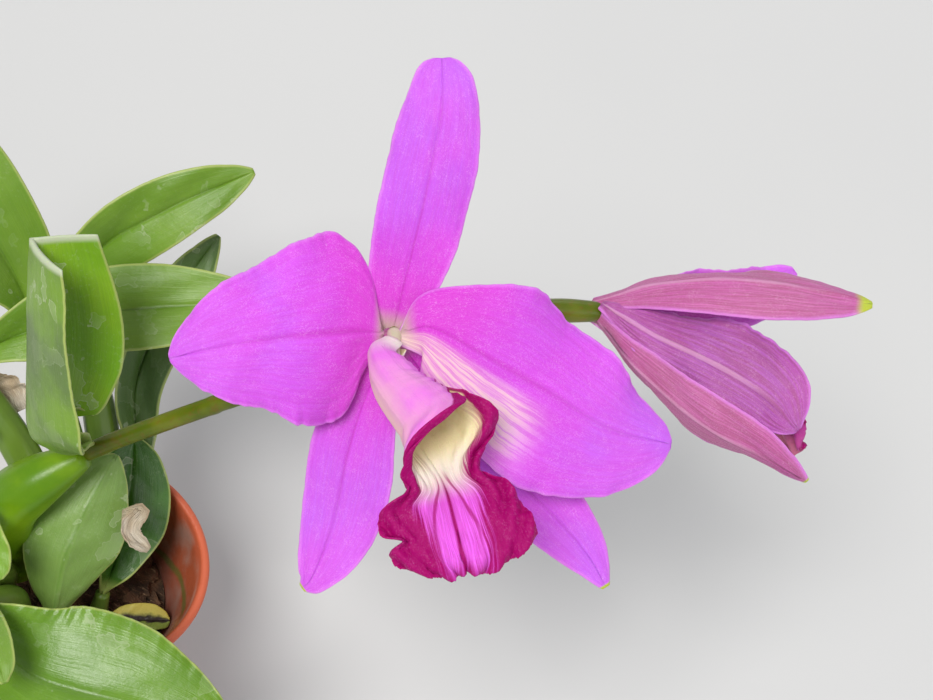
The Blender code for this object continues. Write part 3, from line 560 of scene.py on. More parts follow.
class Nodes:
    """Short hand for wiring one node tree."""

    def __init__(self, tree: bpy.types.NodeTree) -> None:
        """Start on a tree."""
        self.tree = tree
        self.count = 0

    def add(self, kind: str, inputs: dict[Any, Any] | None = None, **settings: Any) -> bpy.types.Node:
        """Add a node.

        Args:
            kind: its type.
            inputs: what feeds it, by input name or number.
            settings: properties to set on it.

        Returns:
            The node.
        """
        made = self.tree.nodes.new(kind)
        made.location = (180 * (self.count % 12), -220 * (self.count // 12))
        self.count += 1
        for key, value in settings.items():
            setattr(made, key, value)
        for key, value in (inputs or {}).items():
            self.feed(made.inputs[key], value)
        return made

    def out(self, kind: str, output: Any, inputs: dict[Any, Any] | None = None, **settings: Any) -> Value:
        """Add a node and take one of its outputs, by name or number."""
        return Value(self, self.add(kind, inputs, **settings).outputs[output])

    def feed(self, socket: bpy.types.NodeSocket, value: Any) -> None:
        """Link a socket, or set its constant.

        Args:
            socket: what is fed.
            value: a value over the surface, a colour, a vector or a number.
        """
        if isinstance(value, Value):
            self.tree.links.new(value.socket, socket)
        elif isinstance(value, tuple) and socket.type == "RGBA":
            socket.default_value = (*value, 1.0)
        else:
            socket.default_value = value

    def math(self, operation: str, *values: Any, clamp: bool = False) -> Value:
        """Do arithmetic on one or two values, kept from 0 to 1 where clamp is set."""
        return self.out("ShaderNodeMath", 0, dict(enumerate(values)), operation=operation, use_clamp=clamp)

    def mix(self, factor: Any, a: Any, b: Any) -> Value:
        """Mix two colours; the factor is the second one's share."""
        return self.out("ShaderNodeMix", 2, {0: factor, 6: a, 7: b}, data_type="RGBA")

    def ramp(self, value: Value, *stops: tuple[float, Color]) -> Value:
        """Colour by value.

        Args:
            value: what to colour by.
            stops: (place, colour) pairs.

        Returns:
            The colour.
        """
        made = self.add("ShaderNodeValToRGB", {0: value})
        made.color_ramp.interpolation = "EASE"
        while len(made.color_ramp.elements) < len(stops):
            made.color_ramp.elements.new(0.5)
        for element, (place, color) in zip(made.color_ramp.elements, stops):
            element.position = place
            element.color = (*color, 1.0)
        return Value(self, made.outputs[0])

    def noise(self, vector: Value, scale: Any, detail: float = 3.0, rough: float = 0.5) -> Value:
        """Read noise from 0 to 1.

        Args:
            vector: where to read.
            scale: how fine.
            detail: octaves.
            rough: weight of the finer octaves.

        Returns:
            The value.
        """
        inputs = {"Vector": vector, "Scale": scale, "Detail": detail, "Roughness": rough}
        return self.out("ShaderNodeTexNoise", 0, inputs)

    def place(self) -> Value:
        """The surface's own place in metres."""
        return self.out("ShaderNodeTexCoord", "Object")

    def stored(self, name: str) -> Value:
        """A vector stored on the mesh."""
        return self.out("ShaderNodeAttribute", "Vector", attribute_name=name)

    def split(self, vector: Value) -> list[Value]:
        """The three parts of a vector."""
        return [Value(self, socket) for socket in self.add("ShaderNodeSeparateXYZ", {0: vector}).outputs]

    def bump(self, height: Value, strength: float, distance: float) -> Value:
        """Turn heights from 0 to 1 into normals; the distance is their depth in metres."""
        inputs = {"Strength": strength, "Distance": distance, "Height": height}
        return self.out("ShaderNodeBump", 0, inputs)


@dataclass(frozen=True)
class Effect:
    """A shared shader effect, made once and used by several finishes."""

    name: str
    inputs: tuple[tuple[str, float], ...]
    outputs: tuple[str, ...]

    def use(self, nodes: Nodes, *values: float) -> list[Value]:
        """Place the effect in a material.

        Args:
            nodes: the material's tree.
            values: the effect's inputs in order.

        Returns:
            Its outputs in order.
        """
        tree = bpy.data.node_groups.get(self.name) or self.make()
        made = nodes.add("ShaderNodeGroup", node_tree=tree)
        for socket, value in zip(made.inputs, values):
            socket.default_value = value
        return [Value(nodes, socket) for socket in made.outputs]

    def make(self) -> bpy.types.NodeTree:
        """Make the tree with its named inputs and outputs.

        Returns:
            The wired tree.
        """
        tree = bpy.data.node_groups.new(self.name, "ShaderNodeTree")
        for name, value in self.inputs:
            socket = tree.interface.new_socket(name, in_out="INPUT", socket_type="NodeSocketFloat")
            socket.default_value = value
        for name in self.outputs:
            tree.interface.new_socket(name, in_out="OUTPUT", socket_type="NodeSocketFloat")
        nodes = Nodes(tree)
        source = nodes.add("NodeGroupInput")
        target = nodes.add("NodeGroupOutput")
        given = [Value(nodes, source.outputs[name]) for name, _ in self.inputs]
        for name, value in zip(self.outputs, self.wire(nodes, *given)):
            nodes.feed(target.inputs[name], value)
        return tree

    def wire(self, nodes: Nodes, *given: Value) -> tuple[Value, ...]:
        """Wire the effect from its inputs to its outputs; each kind fills this in."""
        raise NotImplementedError


@dataclass(frozen=True)
class BladePlace(Effect):
    """Where a point lies on its blade; the edge is the distance to the margin in mm."""

    name: str = "blade_place"
    inputs: tuple[tuple[str, float], ...] = ()
    outputs: tuple[str, ...] = ("Along", "Across", "Side", "Upper", "Edge")

    def wire(self, nodes: Nodes) -> tuple[Value, ...]:
        """Read the blade's stored places.

        Args:
            nodes: the tree being wired.

        Returns:
            Place along, distance across, signed place across, upper face, and distance to the margin.
        """
        along, side, face = nodes.split(nodes.stored("blade"))
        edge = nodes.split(nodes.stored("flat"))[2]
        return along, abs(side), side, face.span(0.35, 0.65), edge


@dataclass(frozen=True)
class FineVeins(Effect):
    """Lines that run from base to tip and wander a little."""

    name: str = "fine_veins"
    inputs: tuple[tuple[str, float], ...] = (("Count", 14.0), ("Wander", 0.4), ("Sharpness", 0.5))
    outputs: tuple[str, ...] = ("Mask", "Height")

    def wire(self, nodes: Nodes, count: Value, wander: Value, sharpness: Value) -> tuple[Value, ...]:
        """Stretch noise along the blade.

        Args:
            nodes: the tree being wired.
            count: how many lines there are across.
            wander: how far they drift.
            sharpness: how wide they are.

        Returns:
            Mask of the veins, and their height.
        """
        along, side, _ = nodes.split(nodes.stored("blade"))
        drift = (nodes.noise(nodes.stored("flat"), 0.12, 2.0) - 0.5) * wander
        lines = nodes.out("ShaderNodeCombineXYZ", 0, {0: (side + drift) * count, 1: along * 1.6})
        streaks = nodes.noise(lines, 1.0, 3.0, 0.6)
        ridge = nodes.math("DIVIDE", abs(streaks - 0.5), sharpness * 0.12)
        return nodes.math("SUBTRACT", 1.0, ridge, clamp=True), streaks


@dataclass(frozen=True)
class CellSparkle(Effect):
    """Shiny surface cells of a petal; the mask marks the cells that get painted glints, and the height bumps
    the cells.
    """

    name: str = "cell_sparkle"
    inputs: tuple[tuple[str, float], ...] = (("Cells", 2.6), ("Contrast", 1.0))
    outputs: tuple[str, ...] = ("Mask", "Height")

    def wire(self, nodes: Nodes, cells: Value, contrast: Value) -> tuple[Value, ...]:
        """Give the cells painted glints and a height.

        Args:
            nodes: the tree being wired.
            cells: cells in a millimetre.
            contrast: strength of the painted glints.

        Returns:
            Mask of the cells that get painted glints, and the cells' height.
        """
        flat = nodes.stored("flat")
        bend = {0: flat, 1: nodes.out("ShaderNodeTexNoise", 1)}
        where = nodes.out("ShaderNodeVectorMath", 0, bend, operation="ADD")
        made = nodes.add("ShaderNodeTexVoronoi", {"Vector": where, "Scale": cells})
        tone = nodes.split(Value(nodes, made.outputs["Color"]))[0]
        patch = nodes.noise(flat, 0.35, 2.0).span(0.35, 0.7, 0.35, 1.0)
        mask = nodes.math("MULTIPLY", nodes.math("POWER", tone, 5.0) * patch, contrast, clamp=True)
        return mask, 1.0 - Value(nodes, made.outputs["Distance"])


@dataclass(frozen=True)
class Mottle(Effect):
    """Soft blotches and fine grain over any surface."""

    name: str = "mottle"
    inputs: tuple[tuple[str, float], ...] = (("Blotch", 60.0), ("Grain", 900.0))
    outputs: tuple[str, ...] = ("Blotches", "Grains")

    def wire(self, nodes: Nodes, blotch: Value, grain: Value) -> tuple[Value, ...]:
        """Read coarse and fine noise at the surface's place."""
        place = nodes.place()
        return nodes.noise(place, blotch, 4.0).span(0.35, 0.68), nodes.noise(place, grain, 4.0)


@dataclass(frozen=True)
class WaterMarks(Effect):
    """Dried drops: a pale rim round a faint film, and thin dust between them."""

    name: str = "water_marks"
    inputs: tuple[tuple[str, float], ...] = (("Scale", 115.0),)
    outputs: tuple[str, ...] = ("Mask",)

    def wire(self, nodes: Nodes, scale: Value) -> tuple[Value, ...]:
        """Draw the outlines of noise patches.

        Args:
            nodes: the tree being wired.
            scale: how fine the drops are.

        Returns:
            Mask of the marks.
        """
        place = nodes.place()
        level = nodes.noise(place, scale) - 0.6
        rim = abs(level).span(0.016, 0.003)
        film = level.span(0.0, 0.02, 0.0, 0.45)
        dust = nodes.noise(place, 900.0, 5.0, 0.7).span(0.52, 0.72, 0.0, 0.35)
        patch = nodes.noise(place, 42.0, 2.0).span(0.42, 0.62, 0.2, 1.0)
        return (nodes.math("MULTIPLY", rim | film | dust, patch, clamp=True),)


BLADE_PLACE = BladePlace()
FINE_VEINS = FineVeins()
CELL_SPARKLE = CellSparkle()
MOTTLE = Mottle()
WATER_MARKS = WaterMarks()


# Finishes


def lit_within(weight: float, radius: Color, scale: float) -> dict[str, Any]:
    """Light that travels under the surface, for the shader."""
    return {"Subsurface Weight": weight, "Subsurface Radius": radius, "Subsurface Scale": scale}


@dataclass(frozen=True)
class Finish:
    """A finish that makes a material for a piece."""

    def material(self, name: str) -> bpy.types.Material:
        """Make the material.

        Args:
            name: the piece that it is for.

        Returns:
            The material.
        """
        made = bpy.data.materials.new(name + "_finish")
        made.use_nodes = True
        nodes = Nodes(made.node_tree)
        shader = made.node_tree.nodes["Principled BSDF"]
        for key, value in self.surface(nodes).items():
            nodes.feed(shader.inputs[key], value)
        return made

    def surface(self, nodes: Nodes) -> dict[str, Any]:
        """Wire what feeds the shader, by its input; each kind fills this in."""
        raise NotImplementedError


@dataclass(frozen=True)
class TepalFinish(Finish):
    """Sepals and petals: coloured from base to tip, veined, with painted glints on their shiny cells."""

    base: Color = (0.62, 0.50, 0.36)
    inner: Color = (0.68, 0.05, 0.64)
    middle: Color = (0.67, 0.095, 0.82)
    outer: Color = (0.64, 0.13, 0.84)
    violet: Color = (0.50, 0.14, 0.88)
    edge: Color = (0.78, 0.26, 0.86)
    vein: Color = (0.55, 0.015, 0.46)
    back: Color = (0.60, 0.17, 0.42)
    back_vein: Color = (0.32, 0.06, 0.11)
    keel: Color = (0.76, 0.42, 0.62)
    # Colour of the painted glints on the shiny cells.
    painted_glint: Color = (0.95, 0.50, 0.98)
    tip: Color = (0.50, 0.58, 0.06)
    tip_size: float = 0.0
    flare: float = 0.0
    flare_color: Color = (0.92, 0.74, 0.62)
    base_size: float = 0.05

    def surface(self, nodes: Nodes) -> dict[str, Any]:
        """Wire the front, the back, the margin and the painted glints on the cells.

        Args:
            nodes: the material's tree.

        Returns:
            What feeds the shader, by its input.
        """
        along, across, side, upper, edge = BLADE_PLACE.use(nodes)
        fine, fine_height = FINE_VEINS.use(nodes, 34.0, 0.03, 0.5)
        broad = FINE_VEINS.use(nodes, 12.0, 0.05, 0.7)[0]
        cells, cell_height = CELL_SPARKLE.use(nodes, 5.0, 1.0)
        blotches = MOTTLE.use(nodes, 45.0, 700.0)[0]
        stops = ((0.0, self.base), (self.base_size, self.inner), (0.45, self.middle), (0.95, self.outer))
        front = nodes.mix(blotches * 0.28, nodes.ramp(along, *stops), self.inner)
        cool = nodes.noise(nodes.place(), 34.0, 2.0).span(0.42, 0.64) * along.span(0.1, 0.5)
        front = nodes.mix(cool * 0.5, front, self.violet)
        if self.flare:
            wedge = side.span(0.10, 0.32) * along.span(0.62, 0.40) * side.span(1.0, 0.72, 0.25, 1.0)
            front = nodes.mix(wedge * (broad * -0.6 + 1.0) * self.flare, front, self.flare_color)
        midrib = across.span(0.07, 0.0) * along.span(0.95, 0.2)
        for mask, share in ((midrib, 0.45), (broad, 0.16), (fine, 0.10)):
            front = nodes.mix(mask * share, front, self.vein)
        rear = nodes.mix(blotches * 0.35, self.back, self.inner)
        for mask, share in ((broad, 0.50), (fine, 0.22)):
            rear = nodes.mix(mask * share, rear, self.back_vein)
        keel = across.span(0.055, 0.02) * along.span(0.9, 0.6)
        rear = nodes.mix(keel * 0.5, rear, self.keel)
        color = nodes.mix(upper, rear, front)
        color = nodes.mix(edge.span(1.1, 0.0) * 0.55, color, self.edge)
        # Painted glints: the shiny cells are lightened towards the glint colour.
        color = nodes.mix(cells * 0.42, color, self.painted_glint)
        if self.tip_size:
            color = nodes.mix(along.span(1 - self.tip_size, 1 - self.tip_size * 0.4), color, self.tip)
        return {
            "Base Color": color,
            "Roughness": cells.span(0.0, 0.6, 0.52, 0.26),
            "Specular IOR Level": 0.28,
            "Sheen Weight": 0.06,
            "Sheen Roughness": 0.4,
            "Normal": nodes.bump(fine_height * 0.8 + cell_height * 0.5, 0.5, 0.00028),
            **lit_within(0.22, (1.0, 0.35, 0.9), 0.0016),
        }


@dataclass(frozen=True)
class LipFinish(Finish):
    """Lip: pale tube outside, cream throat, deep ruffled margin and a veined front lobe."""

    tube: Color = (0.82, 0.20, 0.78)
    tube_pale: Color = (0.88, 0.60, 0.52)
    throat: Color = (0.90, 0.80, 0.46)
    cream: Color = (0.92, 0.84, 0.74)
    # Brown of the throat's ribs, also used for the faint painted shade on one side of the throat.
    rib: Color = (0.36, 0.16, 0.08)
    deep: Color = (0.37, 0.0, 0.135)
    lobe: Color = (0.88, 0.15, 0.90)
    vein: Color = (0.36, 0.0, 0.13)
    # Colour of the painted glints on the lip's shiny cells.
    painted_glint: Color = (0.90, 0.30, 0.70)
    mouth: float = 0.42

    def outside(self, nodes: Nodes, along: Value, across: Value, blotches: Value) -> Value:
        """Colour the tube's outside.

        Args:
            nodes: the material's tree.
            along: place from base to tip.
            across: distance from the middle line.
            blotches: soft patches.

        Returns:
            The colour.
        """
        color = nodes.mix(across.span(0.62, 0.2), self.tube, self.tube_pale)
        color = nodes.mix(blotches * 0.3, color, self.tube_pale)
        return nodes.mix(along.span(0.1, 0.0), color, self.cream)

    def inside(self, nodes: Nodes, at: list[Value], fine: Value, broad: Value) -> Value:
        """Colour the throat with its ribs over a faint painted shade, and the front lobe with its veins.

        Args:
            nodes: the material's tree.
            at: the place on the blade.
            fine: mask of the fine veins.
            broad: mask of the broad veins.

        Returns:
            The colour.
        """
        along, across, side = at[:3]
        throat = ((0.0, self.throat), (0.46, self.throat), (0.60, self.cream))
        color = nodes.ramp(along, *throat, (0.72, self.lobe), (1.0, self.lobe))
        # Brown ribs on one side of the throat; the floor of 0.22 spreads a faint painted shade between them,
        # where the lobe's upper margin shades the throat.
        ribs = side.span(0.0, 0.3) * along.span(0.60, 0.50) * (broad | 0.22)
        color = nodes.mix(ribs * 0.7, color, self.rib)
        color = nodes.mix((fine | broad) * along.span(0.54, 0.68, 0.0, 0.42), color, self.vein)
        keel = across.span(0.06, 0.02) * along.span(0.57, 0.66)
        branch = abs(across - along.span(0.56, 0.85, 0.10, 0.30)).span(0.04, 0.012)
        branch = branch * along.span(0.57, 0.64) * along.span(0.92, 0.75, 0.0, 0.8)
        return nodes.mix((keel | branch) * 0.95, color, self.vein)

    def surface(self, nodes: Nodes) -> dict[str, Any]:
        """Wire the two faces and the deep margin over them.

        Args:
            nodes: the material's tree.

        Returns:
            What feeds the shader, by its input.
        """
        at = BLADE_PLACE.use(nodes)
        along, across, _, upper, edge = at
        fine, fine_height = FINE_VEINS.use(nodes, 30.0, 0.03, 0.55)
        broad = FINE_VEINS.use(nodes, 22.0, 0.02, 0.8)[0]
        cells, cell_height = CELL_SPARKLE.use(nodes, 3.0, 1.0)
        blotches = MOTTLE.use(nodes, 110.0, 900.0)[0]
        outside = self.outside(nodes, along, across, blotches)
        color = nodes.mix(upper, outside, self.inside(nodes, at, fine, broad))
        ragged = (fine_height - 0.5) * 0.5
        flank = across - along.span(0.42, 0.88, 0.74, 0.30) + ragged
        front = along + ragged * 0.3 - 0.94
        dark = flank.span(-0.06, 0.12) | front.span(-0.02, 0.08)
        dark = dark * along.span(self.mouth - 0.06, self.mouth + 0.06)
        band = edge - along.span(self.mouth - 0.05, self.mouth + 0.03, 0.0, 2.6)
        rim = band.span(1.4, 0.4) * along.span(0.12, 0.4)
        dark_outside = along.span(self.mouth + 0.1, self.mouth + 0.3) * 0.75
        color = nodes.mix(dark * upper | rim | dark_outside * (1.0 - upper), color, self.deep)
        return {
            # Painted glints on the shiny cells are mixed into the base colour.
            "Base Color": nodes.mix(cells * 0.12, color, self.painted_glint),
            "Roughness": cells.span(0.0, 0.6, 0.5, 0.3),
            "Specular IOR Level": 0.12,
            "Normal": nodes.bump(fine_height + cell_height * 0.4, 0.6, 0.0004),
            **lit_within(0.18, (1.0, 0.3, 0.7), 0.0014),
        }


@dataclass(frozen=True)
class LeafFinish(Finish):
    """Waxy leaf with fine streaks, a midrib, a pale margin and dried water marks."""

    upper: Color = (0.145, 0.285, 0.02)
    young: Color = (0.20, 0.35, 0.035)
    under: Color = (0.15, 0.245, 0.055)
    margin: Color = (0.42, 0.50, 0.14)
    rib: Color = (0.10, 0.21, 0.02)
    mark: Color = (0.55, 0.62, 0.42)
    marks: float = 0.4
    gloss: float = 0.36
    tip: Color = (0.30, 0.20, 0.06)
    tip_size: float = 0.0
    cut: float = 0.0

    def surface(self, nodes: Nodes) -> dict[str, Any]:
        """Wire both faces, the lines along them and the marks.

        Args:
            nodes: the material's tree.

        Returns:
            What feeds the shader, by its input.
        """
        along, across, _, upper, edge = BLADE_PLACE.use(nodes)
        fine, fine_height = FINE_VEINS.use(nodes, 40.0, 0.05, 0.9)
        blotches, grains = MOTTLE.use(nodes, 55.0, 1500.0)
        dried = WATER_MARKS.use(nodes, 115.0)[0]
        face = nodes.mix(blotches, self.upper, self.young)
        color = nodes.mix(upper, nodes.mix(blotches * 0.6, self.under, self.young), face)
        color = nodes.mix(fine * 0.22, color, self.rib)
        color = nodes.mix(across.span(0.045, 0.0) * along.span(1.0, 0.8) * 0.5, color, self.rib)
        color = nodes.mix(edge.span(0.75, 0.1) * 0.8, color, self.margin)
        color = nodes.mix(dried * self.marks, color, self.mark)
        color = nodes.mix(along.span(0.08, 0.0) * 0.6, color, self.margin)
        if self.tip_size:
            color = nodes.mix(along.span(1 - self.tip_size, 1 - self.tip_size * 0.3), color, self.tip)
        if self.cut:
            color = nodes.mix(along.span(1 - self.cut, 1 - self.cut * 0.2), color, self.mark)
        wrinkle = nodes.noise(nodes.place(), 420.0, 4.0, 0.6)
        return {
            "Base Color": color,
            "Roughness": grains * 0.16 + (self.gloss - 0.06) + dried * 0.2,
            "Specular IOR Level": 0.42,
            "Normal": nodes.bump(fine_height * 0.7 + wrinkle, 0.4, 0.00035),
            **lit_within(0.08, (0.4, 1.0, 0.1), 0.0012),
        }


@dataclass(frozen=True)
class SkinFinish(Finish):
    """Waxy skin of bulbs, stems and columns, mottled, with a blush of freckles."""

    color: Color = (0.34, 0.44, 0.04)
    second: Color = (0.25, 0.36, 0.05)
    blush: Color = (0.40, 0.20, 0.10)
    blush_share: float = 0.0
    scale: float = 60.0
    roughness: float = 0.34

    def surface(self, nodes: Nodes) -> dict[str, Any]:
        """Wire the mottled skin and its freckles.

        Args:
            nodes: the material's tree.

        Returns:
            What feeds the shader, by its input.
        """
        blotches, grains = MOTTLE.use(nodes, self.scale, 1300.0)
        freckles = nodes.noise(nodes.place(), 520.0, 4.0, 0.65)
        color = nodes.mix(blotches, self.color, self.second)
        return {
            "Base Color": nodes.mix(freckles.span(0.48, 0.66) * self.blush_share, color, self.blush),
            "Roughness": grains * 0.2 + (self.roughness - 0.1),
            "Specular IOR Level": 0.34,
            "Normal": nodes.bump(freckles, 0.3, 0.00025),
            **lit_within(0.12, (0.6, 1.0, 0.2), 0.0015),
        }


@dataclass(frozen=True)
class DryFinish(Finish):
    """Dead papery tissue with fibres and stains."""

    color: Color = (0.62, 0.48, 0.32)
    pale: Color = (0.80, 0.72, 0.60)
    stain: Color = (0.28, 0.17, 0.09)

    def surface(self, nodes: Nodes) -> dict[str, Any]:
        """Wire the paper, its fibres and its stained margin.

        Args:
            nodes: the material's tree.

        Returns:
            What feeds the shader, by its input.
        """
        edge = BLADE_PLACE.use(nodes)[4]
        fibres, height = FINE_VEINS.use(nodes, 44.0, 0.2, 0.8)
        blotches, grains = MOTTLE.use(nodes, 120.0, 1400.0)
        color = nodes.mix(blotches, self.color, self.pale)
        color = nodes.mix(fibres * 0.5, color, self.stain)
        return {
            "Base Color": nodes.mix(edge.span(0.8, 0.0) * 0.4, color, self.stain),
            "Roughness": grains.span(0.3, 0.7, 0.62, 0.8),
            "Normal": nodes.bump(height, 0.8, 0.0006),
        }


@dataclass(frozen=True)
class DyingFinish(Finish):
    """Dying leaf: yellow and green bands with rotten black patches."""

    yellow: Color = (0.60, 0.52, 0.10)
    green: Color = (0.26, 0.36, 0.06)
    black: Color = (0.03, 0.02, 0.015)

    def surface(self, nodes: Nodes) -> dict[str, Any]:
        """Wire the bands.

        Args:
            nodes: the material's tree.

        Returns:
            What feeds the shader, by its input.
        """
        side = BLADE_PLACE.use(nodes)[2]
        blotches, grains = MOTTLE.use(nodes, 150.0, 1200.0)
        band = side + blotches * 0.3
        color = nodes.mix(band.span(-0.5, 0.2), self.yellow, self.green)
        return {
            "Base Color": nodes.mix(band.span(-0.35, -0.1) * band.span(0.45, 0.25), color, self.black),
            "Roughness": grains.span(0.3, 0.7, 0.4, 0.7),
            "Normal": nodes.bump(grains, 0.5, 0.0004),
        }


@dataclass(frozen=True)
class PotFinish(Finish):
    """Terracotta-coloured plastic, limed inside and darker low on the inner wall, with a streak of algae;
    sizes in metres.
    """

    clay: Color = (0.50, 0.11, 0.045)
    # Lighter rim colour: painted light on the top of the rim, which faces the lamps.
    rim: Color = (0.60, 0.125, 0.055)
    lime: Color = (0.50, 0.33, 0.27)
    # Colour that the inner wall darkens towards, low down.
    low_wall_dark: Color = (0.16, 0.045, 0.03)
    algae: Color = (0.13, 0.17, 0.035)
    streak_height: float = 0.0576
    streak_fall: float = 0.015
    streak_width: float = 0.0012
    height: float = 0.064
    wall_slope: float = 0.178
    wall_start: float = 0.0217

    def surface(self, nodes: Nodes) -> dict[str, Any]:
        """Wire the wall, the rim with its painted light, and the inside with its lime, its darkening towards
        the bark and its algae.

        Args:
            nodes: the material's tree.

        Returns:
            What feeds the shader, by its input.
        """
        blotches, grains = MOTTLE.use(nodes, 85.0, 1100.0)
        x, y, z = nodes.split(nodes.place())
        radius = nodes.math("SQRT", x * x + y * y)
        wall = z * self.wall_slope + self.wall_start
        inside = (radius - wall).span(0.0003, -0.0003) * z.span(0.0625, 0.060)
        # Painted light: the top of the rim is lighter than the wall.
        color = nodes.mix(z.span(self.height - 0.007, self.height - 0.003), self.clay, self.rim)
        color = nodes.mix(blotches * (inside * 0.7), color, self.lime)
        # The inner wall grows darker towards the bark.
        color = nodes.mix(inside * z.span(0.054, 0.03) * 0.6, color, self.low_wall_dark)
        angle = nodes.math("ARCTAN2", y, x)
        wander = nodes.noise(nodes.place(), 110.0) * 0.005
        off = abs(angle * -self.streak_fall + self.streak_height - wander - z)
        streak = off.span(self.streak_width * 2, self.streak_width * 0.5) * inside
        ends = angle.span(0.0, 0.2) * angle.span(1.4, 1.15)
        color = nodes.mix(streak * ends * 0.75, color, self.algae)
        return {
            "Base Color": nodes.mix(grains.span(0.6, 0.75, 0.0, 0.25), color, self.lime),
            "Roughness": blotches.span(0.0, 1.0, 0.42, 0.66),
            "Normal": nodes.bump(grains, 0.25, 0.0003),
        }


@dataclass(frozen=True)
class BarkFinish(Finish):
    """Damp orchid bark: fibrous, brown, lighter on its worn faces."""

    dark: Color = (0.045, 0.024, 0.012)
    brown: Color = (0.17, 0.085, 0.04)
    worn: Color = (0.30, 0.19, 0.11)
    fibre_scale: Point = (300.0, 1400.0, 1400.0)

    def surface(self, nodes: Nodes) -> dict[str, Any]:
        """Wire the fibres over the mottled bark.

        Args:
            nodes: the material's tree.

        Returns:
            What feeds the shader, by its input.
        """
        blotches = MOTTLE.use(nodes, 140.0, 1600.0)[0]
        stretch = nodes.out("ShaderNodeMapping", 0, {"Vector": nodes.place(), "Scale": self.fibre_scale})
        fibre = nodes.noise(stretch, 1.0, 5.0, 0.65)
        color = nodes.mix(blotches, self.dark, self.brown)
        return {
            "Base Color": nodes.mix(fibre.span(0.52, 0.72), color, self.worn),
            "Roughness": fibre.span(0.3, 0.7, 0.7, 0.92),
            "Normal": nodes.bump(fibre, 0.9, 0.0009),
        }


@dataclass(frozen=True)
class FloorFinish(Finish):
    """Plain pale floor."""

    color: Color = (0.62, 0.62, 0.615)
    second: Color = (0.60, 0.60, 0.597)

    def surface(self, nodes: Nodes) -> dict[str, Any]:
        """Wire the faintly uneven floor."""
        color = nodes.mix(MOTTLE.use(nodes, 2.0, 60.0)[0], self.color, self.second)
        return {"Base Color": color, "Roughness": 0.85, "Specular IOR Level": 0.1}


# Round pieces


@dataclass
class Spindle:
    """Round, slightly uneven stem or bulb along a spine."""

    spine: tuple[Point, ...]
    radii: Stations
    sides: int = 40
    rings: int = 60
    furrows: float = 0.0
    furrow_count: int = 7
    scars: tuple[float, ...] = ()
    scar_ridge: tuple[float, float] = (0.22, 0.012)
    scar_dent: tuple[float, float] = (0.12, 0.02)
    stretch: tuple[float, float] = (0.0, 0.0)
    caps: tuple[float, float] = (0.3, 0.35)
    seed: int = 3

    def parts(self) -> MeshParts:
        """Sample the closed surface.

        Returns:
            Points and faces in millimetres.
        """
        t = np.linspace(0, 1, self.rings)
        places = 0.7 * t + 0.3 * (1 - np.cos(math.pi * t)) / 2
        spots, heading = SmoothPath(self.spine).at(places)
        reach = np.clip((places - 0.85) / 0.15, 0, 1) ** 1.5
        spots = spots - heading * (np.clip(1 - places / 0.1, 0, 1) * self.stretch[0])[:, None]
        spots = spots + heading * (reach * self.stretch[1])[:, None]
        radius = stations_at(self.radii, places)
        for scar in self.scars:
            (rise, width), (drop, spread) = self.scar_ridge, self.scar_dent
            ridge = rise * np.exp(-((places - scar) / width) ** 2)
            dent = drop * np.exp(-((places - scar - spread) / spread) ** 2)
            radius = radius + ridge - dent
        angles = np.linspace(0, FULL_TURN, self.sides, endpoint=False)
        furrow = np.abs(np.sin(self.furrow_count * angles / 2)) ** 6
        reference = np.array((0.3, -0.6, 0.2))
        points = []
        for k in range(self.rings):
            first = np.cross(heading[k], reference)
            first /= np.linalg.norm(first)
            second = np.cross(heading[k], first)
            uneven = 1 + 0.02 * np.sin(2 * angles + self.seed + 3 * places[k])
            uneven -= self.furrows * math.sin(math.pi * places[k]) * furrow
            outward = np.cos(angles)[:, None] * first + np.sin(angles)[:, None] * second
            points.append(spots[k] + (radius[k] * uneven)[:, None] * outward)
        cloud = np.vstack(points)
        faces = []
        for k in range(self.rings - 1):
            for s in range(self.sides):
                a, b = k * self.sides + s, k * self.sides + (s + 1) % self.sides
                faces.append((a, b, b + self.sides, a + self.sides))
        tail = len(cloud)
        last = tail - self.sides
        for s in range(self.sides):
            n = (s + 1) % self.sides
            faces += [(n, s, tail), (last + s, last + n, tail + 1)]
        low = spots[0] - heading[0] * self.caps[0] * radius[0]
        high = spots[-1] + heading[-1] * self.caps[1] * radius[-1]
        ends = [low, high]
        return MeshParts(np.vstack([cloud, ends]), faces)

    def make(self, name: str) -> bpy.types.Object:
        """Make the closed object.

        Args:
            name: its name.

        Returns:
            The object.
        """
        item = self.parts().make(name)
        turn_outward(item)
        return item


def join_parts(pieces: Sequence[MeshParts]) -> MeshParts:
    """Put several meshes into one.

    Args:
        pieces: the meshes.

    Returns:
        One mesh with all their points and faces.
    """
    faces = []
    start = 0
    for piece in pieces:
        faces += [tuple(i + start for i in f) for f in piece.faces]
        start += len(piece.points)
    return MeshParts(np.vstack([p.points for p in pieces]), faces)


# The plant's parts


